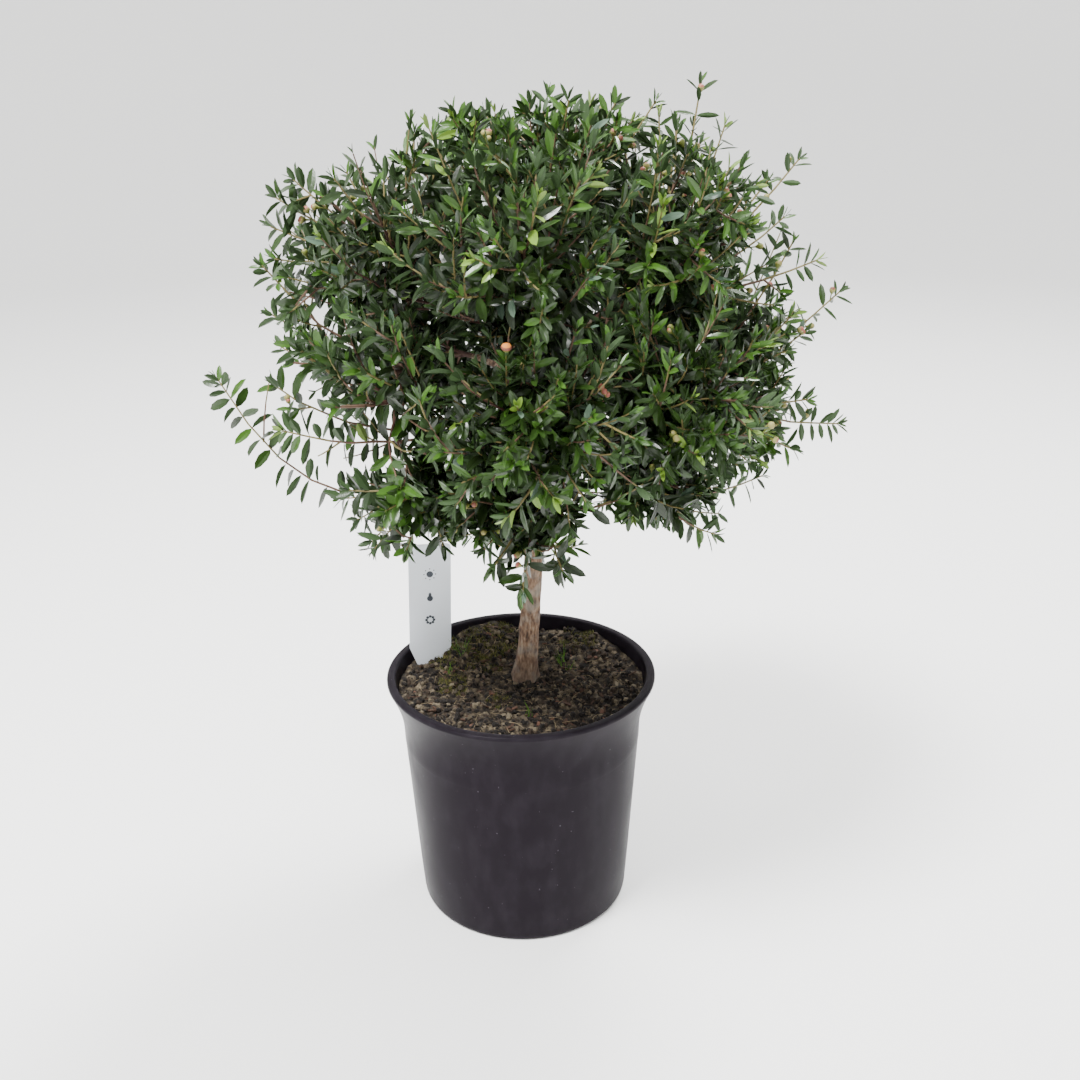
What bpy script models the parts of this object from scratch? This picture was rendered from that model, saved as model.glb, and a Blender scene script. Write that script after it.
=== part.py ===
"""A myrtle grown as a standard: a loose ball of foliage on a clear stem, in its nursery pot.

Units are metres and +Z is up. The origin is the middle of the pot's flat underside. Azimuths are
degrees round +Z, from the front (-Y) towards the right (+X), and elevations are above the horizon.

The trunk runs from a flat cut on the potting compost up to its tip inside the crown. Boughs leave
its sides and end on a bare sphere round the hub. Outside that sphere the crown is shared out among
masses of foliage, each in its own cone seen from the hub, and each standing on one bough's tip.
"""

import math
import random

import bmesh
import bpy
from mathutils import Matrix, Vector
from mathutils.bvhtree import BVHTree

# Fits between neighbours
GAP = 0.0003  # two solids that touch on the real plant stand this far apart
CELL_MARGIN = 0.0005  # a mass keeps this far inside its own cone

# Pot, a turned plastic container
POT_HEIGHT = 0.176
POT_RIM_RADIUS = 0.095
POT_BASE_RADIUS = 0.0760
POT_WALL = 0.0018
POT_FLOOR = 0.0030
POT_LIP_WIDTH = 0.0062
POT_LIP_DEPTH = 0.0030
POT_FLARE_DEPTH = 0.0380  # below the lip, where the wall opens in a hollow curve
POT_FLARE_CURVE = 1.45
POT_COLLAR_RADIUS = 0.0846  # of the straight band below the flare
POT_COLLAR_BOTTOM = 0.1280
POT_COLLAR_STEP = 0.0004  # the faint ledge that stacked pots rest on
POT_SHOULDER_HEIGHT = 0.1600  # inside, where the flare gives way to a nearly upright lip
POT_SHOULDER_STEP = 0.0022
POT_HEEL = (0.0035, 0.0040)  # the worn edge under the wall: how far in it starts, and how high it ends
POT_LIP_TUCK = 0.0006  # the lip's lower edge lies this far inside its widest line
POT_LIP_ROUND = (0.0010, 0.0012, 0.0030)  # outer drop in radius, drop in height, and the flat's setback
POT_SIDES = 40
DRAIN_HOLES = 6
DRAIN_RADIUS = 0.0055
DRAIN_CIRCLE = 0.0560
DRAIN_SIDES = 8

# Compost
SOIL_LEVEL = 0.1660  # where it meets the pot's wall
SOIL_AT_TRUNK = 0.1620
SOIL_SIDES = 26
SOIL_RINGS = 6
SOIL_ROUGHNESS = 0.0009
SOIL_BELOW_LIP = 0.0035  # the highest mound stays this far under the lip
FOOT_PATCH = 0.0145  # flat ground under the root flare
MOUNDS = (  # azimuth, distance from the axis, height, radius
    (199.0, 0.0790, 0.0085, 0.0210),
    (140.0, 0.0740, 0.0060, 0.0200),
    (262.0, 0.0500, 0.0035, 0.0150),
    (338.0, 0.0500, 0.0020, 0.0200),
)

# Trunk: where it stands, the hub that all growth is measured from, and its sizes
FOOT = Vector((0.0028, 0.0140, SOIL_AT_TRUNK + GAP))
HUB = Vector((0.0115, 0.0040, 0.3880))
TRUNK_SIDES = 10
TRUNK_STATIONS = 10
TRUNK_FOOT_RADIUS = 0.0074
TRUNK_TIP_RADIUS = 0.0030
ROOT_FLARE = 0.0030
FLARE_HEIGHT = 0.0110
TRUNK_BOW = 0.0036  # how far the trunk bows to the right of a straight line
TRUNK_TAPER = 1.3  # above 1, the taper comes mostly near the tip
TRUNK_CLOSENESS = 1.5  # above 1, the stations draw together at the foot

# Crown
CROWN_CENTRE = Vector((0.0125, 0.0000, 0.4190))
CROWN_RADIUS = 0.1690
CROWN_ABOVE = 0.1370  # from its centre to its top, and how full its shoulders are
CROWN_ABOVE_FULLNESS = 2.4
CROWN_BELOW = 0.1240
CROWN_BELOW_FULLNESS = 3.0
BARE_RADIUS = 0.0560  # boughs end here, and foliage starts outside it
LEAF_CLEARANCE = 0.0040
TRUNK_CONE = 27.0  # half angle of the open cone that the trunk comes up through
RINGS = (  # name, elevation from the hub, masses, first azimuth, lowest and highest bough root
    ("upper", 43.0, 5, 356.0, 0.399, 0.409),
    ("middle", 4.0, 8, 0.0, 0.362, 0.382),
    ("lower", -34.0, 6, 0.0, 0.338, 0.348),
)
LUMPS = 0.05  # how far the outline rolls in and out, as a share of the reach
HOLLOW = (28.0, 30.0, 13.0, 0.22)  # azimuth, elevation, half angle, depth as a share of the reach

# Long shoots that stand out of the ball: azimuth, elevation and length from the hub, and buds borne
SHOOTS = (
    (83.0, 57.0, 0.2160, 3),
    (95.0, 38.0, 0.2220, 3),
    (74.0, 24.0, 0.2020, 2),
    (96.0, 14.5, 0.2080, 3),
    (88.0, -9.5, 0.2100, 2),
    (271.0, 2.0, 0.2110, 0),
    (257.0, 4.0, 0.1800, 0),
    (264.0, 38.0, 0.2020, 1),
    (280.0, 26.5, 0.1900, 1),
    (75.0, -38.0, 0.1720, 1),
    (286.0, -37.0, 0.1600, 0),
    (0.0, -31.0, 0.1790, 2),
    (182.0, 14.0, 0.1960, 1),
    (160.0, 48.0, 0.2060, 1),
    (216.0, -12.0, 0.1850, 0),
)

# Limbs
BOUGH_SIDES = 5
BOUGH_STATIONS = 4
BOUGH_ROOT_RADIUS = 0.0024
BOUGH_BEND = 0.45  # of its length from the tip, where a bough's two straight aims meet
STEM_SIDES = 4
STEM_RADIUS = 0.0018
STEM_TIP_RADIUS = 0.0009
TWIG_SIDES = 3
TWIG_STATIONS = 3
TWIG_RADIUS = 0.0012
TWIG_TIP_RADIUS = 0.0008
TWIG_TARGETS = 89  # places spread evenly over the whole crown, one twig to each
TWIG_LIFT = 0.5  # how much a twig keeps to its stem's line before it turns to its own place
TWIG_EDGE = 0.0060  # a twig's end keeps this far inside its mass's space
TWIG_PULLS = (0.0, 0.2, 0.4, 0.6)  # shares of the way to its stem that a crowded twig is drawn in by
TWIG_FIRST = 0.06  # along the stem, and the steps up it that the twigs leave by in turn
TWIG_STEP = 0.08
TWIG_STEPS = 6
SHOOT_FIRST = 0.10
SHOOT_STEP = 0.05
SHOOT_STEPS = 3
SHOOT_TIP_LEAF = 0.8  # of a leaf's length, the part of a shoot that its last leaf makes up
LEAF_RUN = 0.0240  # a twig ends this far inside the outline, and its leaves fill the rest
LEAF_RUN_VARIES = (0.85, 1.35)

# Leaves, larger than life because they are fewer
LEAF_LENGTH = 0.0400
LEAF_WIDTH = 0.0165
LEAF_THICKNESS = 0.0014
LEAF_WIDEST = 0.46  # of its length from its base
LEAF_SPREAD = 60.0  # between a leaf and its twig
LEAF_SPREAD_VARIES = 8.0
TIP_LEAF = (0.8, 14.0)  # size and spread of the one leaf at a twig's tip
LEAF_PAIRS = (0.40, 0.66, 0.90)  # where the pairs stand along a twig
SHOOT_PAIRS = (0.55, 0.72, 0.88)
LEAF_ROOT = 0.0003  # how far a leaf's base runs past its twig's middle
LEAF_STEP = 0.0012  # between the two leaves of a pair, along the twig
# Ways to set a leaf, tried in turn: its spread times the first, and its turn plus the second
LEAF_TRIES = ((1.0, 0.0), (0.7, 0.3), (0.7, -0.3), (1.1, 0.7), (1.1, -0.7), (0.45, 0.0), (0.45, 1.2))

# Flower buds on the long shoots, each with its stalk
BUD_REACH = 0.0120
BUD_RADIUS = 0.0034
BUD_WIDEST = 0.72  # along its reach
BUD_SPREAD = 38.0
BUD_PLACES = (0.80, 0.64, 0.95)  # along the shoot

# Cores of the dense masses
CORE_INSIDE = 0.0030  # from the bare sphere
CORE_OUTSIDE = 0.0700  # from the outline
CORE_LEAST = 0.0050
CORE_WIDEST = 1.25  # times the way to the nearest wall of the mass's space
CORE_SHY = 0.0028  # from the walls
CORE_ROUGHEST = 0.58
CORE_DRAW = 0.93  # each step that draws a core's corner in
OPEN_MASSES = ("mass_lower_6", "mass_middle_7")  # the open left side has no core

# Plant label, a blank moulded tag pushed into the compost
LABEL_WIDTH = 0.0305
LABEL_LENGTH = 0.1150
LABEL_POINT = 0.0340
LABEL_TIP = 0.0015
LABEL_THICKNESS = 0.0010
LABEL_CORNER = 0.0030
LABEL_DEPTH = 0.0215  # below the compost's surface
LABEL_PLACE = Vector((-0.0675, 0.0330, 0.0))
LABEL_TURN = 10.0
LABEL_LEAN = 2.0

COLOURS = {
    "pot": ((0.030, 0.031, 0.036), 0.45),
    "soil": ((0.055, 0.038, 0.024), 0.95),
    "bark": ((0.260, 0.160, 0.095), 0.85),
    "leaf": ((0.035, 0.090, 0.022), 0.35),
    "label": ((0.800, 0.830, 0.860), 0.40),
}


def material(name):
    """The named finish as a Principled BSDF, made once."""
    made = bpy.data.materials.get(name)
    if made is None:
        colour, roughness = COLOURS[name]
        made = bpy.data.materials.new(name)
        made.use_nodes = True
        made.diffuse_color = (*colour, 1.0)
        shader = made.node_tree.nodes["Principled BSDF"]
        shader.inputs["Base Color"].default_value = (*colour, 1.0)
        shader.inputs["Roughness"].default_value = roughness
        shader.inputs["Metallic"].default_value = 0.0
    return made


def object_of(name, shape, finish, collection=None):
    """An object with the bmesh's faces and the named finish, linked to the scene or a collection."""
    bmesh.ops.recalc_face_normals(shape, faces=shape.faces)
    mesh = bpy.data.meshes.new(name)
    shape.to_mesh(mesh)
    shape.free()
    mesh.materials.append(material(finish))
    made = bpy.data.objects.new(name, mesh)
    (collection or bpy.context.scene.collection).objects.link(made)
    return made


def direction(azimuth, elevation):
    """The unit vector at an azimuth and an elevation in degrees."""
    a, e = math.radians(azimuth), math.radians(elevation)
    return Vector((math.sin(a) * math.cos(e), -math.cos(a) * math.cos(e), math.sin(e)))


def smooth_shading(made, sharp_degrees=35.0):
    """Shades a round piece smooth, with its real edges kept sharp."""
    made.data.shade_smooth()
    made.data.set_sharp_from_angle(angle=math.radians(sharp_degrees))


def apply_modifiers(made):
    """Replaces the object's mesh by what its modifiers make of it."""
    bpy.context.view_layer.update()
    graph = bpy.context.evaluated_depsgraph_get()
    mesh = bpy.data.meshes.new_from_object(made.evaluated_get(graph))
    made.modifiers.clear()
    made.data = mesh


def closed_tube(shape, rings):
    """Adds a tube through rings of points, all with the same count, closed by a fan at each end."""
    loops = [[shape.verts.new(point) for point in ring] for ring in rings]
    sides = len(rings[0])
    for lower, upper in zip(loops, loops[1:]):
        for k in range(sides):
            after = (k + 1) % sides
            shape.faces.new((lower[k], lower[after], upper[after], upper[k]))
    shape.faces.new(loops[0][::-1])
    shape.faces.new(loops[-1])


def across(axis):
    """Two unit vectors square to an axis and to each other."""
    side = axis.cross(Vector((0, 0, 1)) if abs(axis.z) < 0.9 else Vector((0, 1, 0))).normalized()
    return side, axis.cross(side).normalized()


def ring(centre, axis, side, radius, sides):
    """The corners of a regular polygon square to an axis, the first one towards side."""
    u = (side - axis * side.dot(axis)).normalized()
    v = axis.cross(u)
    turns = [math.tau * k / sides for k in range(sides)]
    return [centre + radius * (math.cos(t) * u + math.sin(t) * v) for t in turns]


def bend(start, control, end, share):
    """A point and the unit tangent on a curve from start to end, drawn towards control."""
    rest = 1.0 - share
    point = rest * rest * start + 2 * rest * share * control + share * share * end
    tangent = rest * (control - start) + share * (end - control)
    return point, tangent.normalized()


def limb_rings(start, control, end, root_radius, tip_radius, sides, stations):
    """Rings of a limb that tapers from its root to its tip along a bent line, without a twist."""
    side = plane_side(start, control, end)
    rings = []
    for k in range(stations):
        share = k / (stations - 1)
        point, tangent = bend(start, control, end, share)
        radius = root_radius + (tip_radius - root_radius) * share
        rings.append(ring(point, tangent, side, radius, sides))
    return rings


def spine_place(line, share, stations):
    """A point on the straight run between a limb's stations, and that run's direction."""
    spot = share * (stations - 1)
    run = min(int(spot), stations - 2)
    lower, upper = (bend(*line, k / (stations - 1))[0] for k in (run, run + 1))
    return lower.lerp(upper, spot - run), (upper - lower).normalized()


def plane_side(start, control, end):
    """The unit vector square to the plane that a bent line lies in."""
    side = (control - start).cross(end - control)
    if side.length < 1e-7:
        side = across((end - start).normalized())[0]
    return side.normalized()


# ---- Pot and compost


def pot_profile():
    """The pot's section, from the middle of the underside round the lip to the middle of the floor."""
    lip_bottom = POT_HEIGHT - POT_LIP_DEPTH
    collar_top = lip_bottom - POT_FLARE_DEPTH
    heel_in, heel_up = POT_HEEL
    heel = (POT_BASE_RADIUS - heel_in / 6, 0.3 * heel_up)
    underside = [(0.0, 0.0), (POT_BASE_RADIUS - heel_in, 0.0), heel]
    ledge = POT_COLLAR_RADIUS - 2 * POT_COLLAR_STEP
    wall = [(POT_BASE_RADIUS, heel_up), (ledge, POT_COLLAR_BOTTOM - 2 * POT_COLLAR_STEP)]
    wall.append((POT_COLLAR_RADIUS - POT_COLLAR_STEP, POT_COLLAR_BOTTOM))
    opening = POT_RIM_RADIUS - POT_LIP_TUCK - POT_COLLAR_RADIUS
    for share in (0.0, 0.35, 0.7, 1.0):
        radius = POT_COLLAR_RADIUS + opening * share**POT_FLARE_CURVE
        wall.append((radius, collar_top + POT_FLARE_DEPTH * share))
    edge_in, edge_down, flat_in = POT_LIP_ROUND
    lip = [(POT_RIM_RADIUS, lip_bottom + 0.5 * POT_LIP_DEPTH)]
    lip.append((POT_RIM_RADIUS - edge_in, POT_HEIGHT - edge_down))
    lip.append((POT_RIM_RADIUS - flat_in, POT_HEIGHT))
    inside = [(radius, height) for height, radius in reversed(pot_inside())]
    return [*underside, *wall, *lip, *inside, (0.0, POT_FLOOR)]


def pot_inside():
    """The height and radius of each corner of the pot's inner wall, from the floor to the mouth."""
    collar_top = POT_HEIGHT - POT_LIP_DEPTH - POT_FLARE_DEPTH
    mouth = POT_RIM_RADIUS - POT_LIP_WIDTH
    return (
        (POT_FLOOR, POT_BASE_RADIUS - POT_WALL),
        (collar_top + POT_WALL, POT_COLLAR_RADIUS - POT_COLLAR_STEP - POT_WALL),
        (POT_SHOULDER_HEIGHT, mouth - POT_SHOULDER_STEP),
        (POT_HEIGHT - POT_LIP_ROUND[1], mouth),
    )


def pot_inner_radius(height):
    """The radius of the pot's inner wall at a height."""
    corners = pot_inside()
    for (low, narrow), (high, wide) in zip(corners, corners[1:]):
        if height <= high:
            return narrow + (wide - narrow) * (height - low) / (high - low)
    return corners[-1][1]


def turned(name, profile, sides, finish):
    """A solid of revolution about Z from a section that starts and ends on the axis."""
    shape = bmesh.new()
    verts = [shape.verts.new((radius, 0.0, height)) for radius, height in profile]
    edges = [shape.edges.new(pair) for pair in zip(verts, verts[1:])]
    bmesh.ops.spin(
        shape, geom=verts + edges, axis=(0, 0, 1), cent=(0, 0, 0), angle=math.tau, steps=sides, use_merge=True
    )
    bmesh.ops.remove_doubles(shape, verts=shape.verts, dist=1e-6)
    return object_of(name, shape, finish)


def helper(name, shape):
    """A cutter, left out of renders and shown as a wire."""
    made = object_of(name, shape, "pot")
    made.hide_render = True
    made.display_type = "WIRE"
    return made


def cut(made, cutter):
    """Cuts a helper's shape out of an object, with a live Boolean."""
    modifier = made.modifiers.new("cut", "BOOLEAN")
    modifier.operation = "DIFFERENCE"
    modifier.object = cutter


def build_pot():
    """The turned pot with its ring of drainage holes."""
    pot = turned("pot", pot_profile(), POT_SIDES, "pot")
    shape = bmesh.new()
    for k in range(DRAIN_HOLES):
        place = DRAIN_CIRCLE * direction(360.0 * (k + 0.5) / DRAIN_HOLES, 0.0)
        bmesh.ops.create_cone(
            shape,
            cap_ends=True,
            segments=DRAIN_SIDES,
            radius1=DRAIN_RADIUS,
            radius2=DRAIN_RADIUS,
            depth=4 * POT_FLOOR,
            matrix=Matrix.Translation(place),
        )
    cut(pot, helper("drain_cutter", shape))
    smooth_shading(pot)


def soil_height(x, y, rng):
    """The compost's surface at a place, level under the trunk's foot and mounded here and there."""
    to_wall = min(1.0, math.hypot(x, y) / pot_inner_radius(SOIL_LEVEL))
    height = SOIL_AT_TRUNK + (SOIL_LEVEL - SOIL_AT_TRUNK) * to_wall**2
    for azimuth, distance, tall, wide in MOUNDS:
        top = distance * direction(azimuth, 0.0)
        height += tall * math.exp(-((x - top.x) ** 2 + (y - top.y) ** 2) / wide**2)
    height += rng.uniform(-SOIL_ROUGHNESS, SOIL_ROUGHNESS)
    from_foot = math.hypot(x - FOOT.x, y - FOOT.y)
    level = max(0.0, min(1.0, (from_foot - FOOT_PATCH) / FOOT_PATCH))
    return SOIL_AT_TRUNK + (min(height, POT_HEIGHT - SOIL_BELOW_LIP) - SOIL_AT_TRUNK) * level


def build_soil():
    """The compost: a plug that fits the pot, with a rough top drawn round the trunk's foot."""
    rng = random.Random(11)
    facet = math.cos(math.pi / POT_SIDES)  # the pot's flats lie this much nearer than its corners
    turns = [math.tau * k / SOIL_SIDES for k in range(SOIL_SIDES)]
    shape = bmesh.new()

    def fitted(height):
        return pot_inner_radius(height) * facet - 1.5 * GAP

    def corner(radius, turn, height):
        return shape.verts.new((radius * math.cos(turn), radius * math.sin(turn), height))

    sides = (POT_FLOOR + GAP, pot_inside()[1][0])
    loops = [[corner(fitted(height), turn, height) for turn in turns] for height in sides]
    edge = fitted(SOIL_LEVEL)
    for step in range(SOIL_RINGS):
        # The rings close in on the trunk's foot, so that a flat patch lies under it.
        share = 1.0 - step / SOIL_RINGS
        loop = []
        for turn in turns:
            x = FOOT.x * (1.0 - share) + edge * share * math.cos(turn)
            y = FOOT.y * (1.0 - share) + edge * share * math.sin(turn)
            height = soil_height(x, y, rng)
            at_wall = step == 0
            loop.append(corner(fitted(height), turn, height) if at_wall else shape.verts.new((x, y, height)))
        loops.append(loop)
    for lower, upper in zip(loops, loops[1:]):
        for k in range(SOIL_SIDES):
            after = (k + 1) % SOIL_SIDES
            shape.faces.new((lower[k], lower[after], upper[after], upper[k]))
    shape.faces.new(loops[0][::-1])
    top = shape.verts.new((FOOT.x, FOOT.y, SOIL_AT_TRUNK))
    for k in range(SOIL_SIDES):
        shape.faces.new((loops[-1][k], loops[-1][(k + 1) % SOIL_SIDES], top))
    bmesh.ops.triangulate(shape, faces=shape.faces)
    soil = object_of("soil", shape, "soil")
    cut(soil, helper("label_cutter", label_blade(GAP)))
    smooth_shading(soil, 50.0)


def label_blade(allowance):
    """The tag as a bmesh in place, grown all round by an allowance, with its point in the compost."""
    half = LABEL_WIDTH / 2 + allowance
    thick = LABEL_THICKNESS / 2 + allowance
    low = -allowance
    tall = LABEL_LENGTH
    corner = LABEL_CORNER
    outline = [(LABEL_TIP, low), (half, LABEL_POINT), (half, tall - corner)]
    outline += [(half - corner * 0.3, tall - corner * 0.3), (half - corner, tall)]
    outline += [(-x, z) for x, z in reversed(outline)]
    shape = bmesh.new()
    face = shape.faces.new([shape.verts.new((x, -thick, z)) for x, z in outline])
    pushed = bmesh.ops.extrude_face_region(shape, geom=[face])
    moved = [v for v in pushed["geom"] if isinstance(v, bmesh.types.BMVert)]
    bmesh.ops.translate(shape, verts=moved, vec=(0, 2 * thick, 0))
    place = Matrix.Translation(LABEL_PLACE + Vector((0, 0, SOIL_LEVEL - LABEL_DEPTH)))
    lean = Matrix.Rotation(math.radians(LABEL_LEAN), 4, "Y")
    turn = Matrix.Rotation(math.radians(LABEL_TURN), 4, "Z")
    bmesh.ops.transform(shape, matrix=place @ turn @ lean, verts=shape.verts)
    return shape


# ---- Trunk and boughs


def trunk_point(height):
    """The trunk's axis at a height: leaning from its foot to the hub, and bowed between."""
    share = (height - FOOT.z) / (HUB.z - FOOT.z)
    bow = TRUNK_BOW * 4 * share * (1.0 - share) if share < 1.0 else 0.0
    return FOOT + (HUB - FOOT) * share + Vector((bow, 0.0, 0.0))


def trunk_radius(height):
    """The trunk's radius at a height, with its root flare."""
    share = (height - FOOT.z) / (HUB.z + BARE_RADIUS - FOOT.z)
    taper = TRUNK_FOOT_RADIUS + (TRUNK_TIP_RADIUS - TRUNK_FOOT_RADIUS) * share**TRUNK_TAPER
    return taper + ROOT_FLARE * math.exp(-(height - FOOT.z) / FLARE_HEIGHT)


def trunk_rise():
    """The direction that the trunk's tip points in."""
    return (HUB - FOOT).normalized()


def build_trunk():
    """The trunk, from its flat cut on the compost to its tip, with closer stations at the flare."""
    side = Vector((0, 1, 0))
    tip = HUB + BARE_RADIUS * trunk_rise()
    rings = []
    for k in range(TRUNK_STATIONS - 1):
        height = FOOT.z + (tip.z - FOOT.z) * (k / (TRUNK_STATIONS - 1)) ** TRUNK_CLOSENESS
        rings.append(ring(trunk_point(height), Vector((0, 0, 1)), side, trunk_radius(height), TRUNK_SIDES))
    rings.append(ring(tip, trunk_rise(), side, TRUNK_TIP_RADIUS, TRUNK_SIDES))
    shape = bmesh.new()
    closed_tube(shape, rings)
    smooth_shading(object_of("trunk", shape, "bark"), 50.0)


def build_bough(name, toward, root_height):
    """One tapering bough, from its seat on the trunk's side to its mass's place on the bare sphere."""
    tip = HUB + toward * BARE_RADIUS
    axis = trunk_point(root_height)
    lean = (trunk_point(root_height + BOUGH_ROOT_RADIUS) - axis).normalized()
    out = tip - axis
    out = (out - lean * out.dot(lean)).normalized()
    seat = axis + out * (trunk_radius(root_height - BOUGH_ROOT_RADIUS) + GAP)
    control = tip - toward * BOUGH_BEND * (tip - seat).length
    rings = limb_rings(seat, control, tip, BOUGH_ROOT_RADIUS, STEM_RADIUS, BOUGH_SIDES, BOUGH_STATIONS)
    # The seat lies flat along the bark, and the tip is square to the stem that it carries.
    side = plane_side(seat, control, tip)
    rings[0] = ring(seat, out, side, BOUGH_ROOT_RADIUS, BOUGH_SIDES)
    rings[-1] = ring(tip, toward, side, STEM_RADIUS, BOUGH_SIDES)
    shape = bmesh.new()
    closed_tube(shape, rings)
    smooth_shading(object_of(name, shape, "bark"), 50.0)


# ---- Crown


def crown_holds(point):
    """Whether a point lies inside the crown's smooth outline, a ball with full shoulders."""
    out = point - CROWN_CENTRE
    above = out.z > 0.0
    height = CROWN_ABOVE if above else CROWN_BELOW
    fullness = CROWN_ABOVE_FULLNESS if above else CROWN_BELOW_FULLNESS
    return (math.hypot(out.x, out.y) / CROWN_RADIUS) ** fullness + (abs(out.z) / height) ** fullness < 1.0


def crown_reach(toward):
    """How far the crown's outline lies from the hub in a direction, with its lumps and its hollow."""
    inside, outside = 0.0, 2 * CROWN_RADIUS
    while outside - inside > 1e-4:
        middle = 0.5 * (inside + outside)
        if crown_holds(HUB + middle * toward):
            inside = middle
        else:
            outside = middle
    lumps = math.sin(7.1 * toward.x + 1.3) * math.sin(6.3 * toward.y + 0.4) + math.sin(8.2 * toward.z + 2.1)
    azimuth, elevation, wide, depth = HOLLOW
    off = math.degrees(toward.angle(direction(azimuth, elevation)))
    return inside * (1.0 + 0.5 * LUMPS * lumps - depth * math.exp(-((off / wide) ** 2)))


def crown_masses():
    """Every mass as (name, direction from the hub, bough root height), the top one first."""
    masses = [("mass_top", trunk_rise(), None)]
    for name, elevation, count, first, low, high in RINGS:
        for k in range(count):
            root = low + (high - low) * (k % 2)
            masses.append((f"mass_{name}_{k + 1}", direction(first + 360.0 * k / count, elevation), root))
    return masses


def twig_targets():
    """Directions spread evenly over the crown on a golden spiral, but for the trunk's opening."""
    golden = math.degrees(math.pi * (3.0 - math.sqrt(5.0)))
    targets = []
    for k in range(TWIG_TARGETS):
        elevation = math.degrees(math.asin(1.0 - (2 * k + 1) / TWIG_TARGETS))
        if elevation + 90.0 > TRUNK_CONE:
            targets.append(direction(golden * k, elevation))
    return targets


class Cell:
    """The cone, seen from the hub, that one mass keeps to."""

    def __init__(self, own, others):
        """own is the mass's direction and others the directions of the rest."""
        self.walls = [(own - other).normalized() for other in others]

    def depth(self, point):
        """How far inside its nearest wall a point lies."""
        offset = point - HUB
        return min(offset.dot(wall) for wall in self.walls)

    def holds(self, points, innermost, margin=CELL_MARGIN):
        """Whether the points all lie in the cone, outside a sphere, and clear of the trunk's opening."""
        for point in points:
            offset = point - HUB
            if self.depth(point) < margin or offset.length < innermost:
                return False
            if math.degrees(offset.angle(Vector((0, 0, -1)))) < TRUNK_CONE:
                return False
        return True


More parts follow.
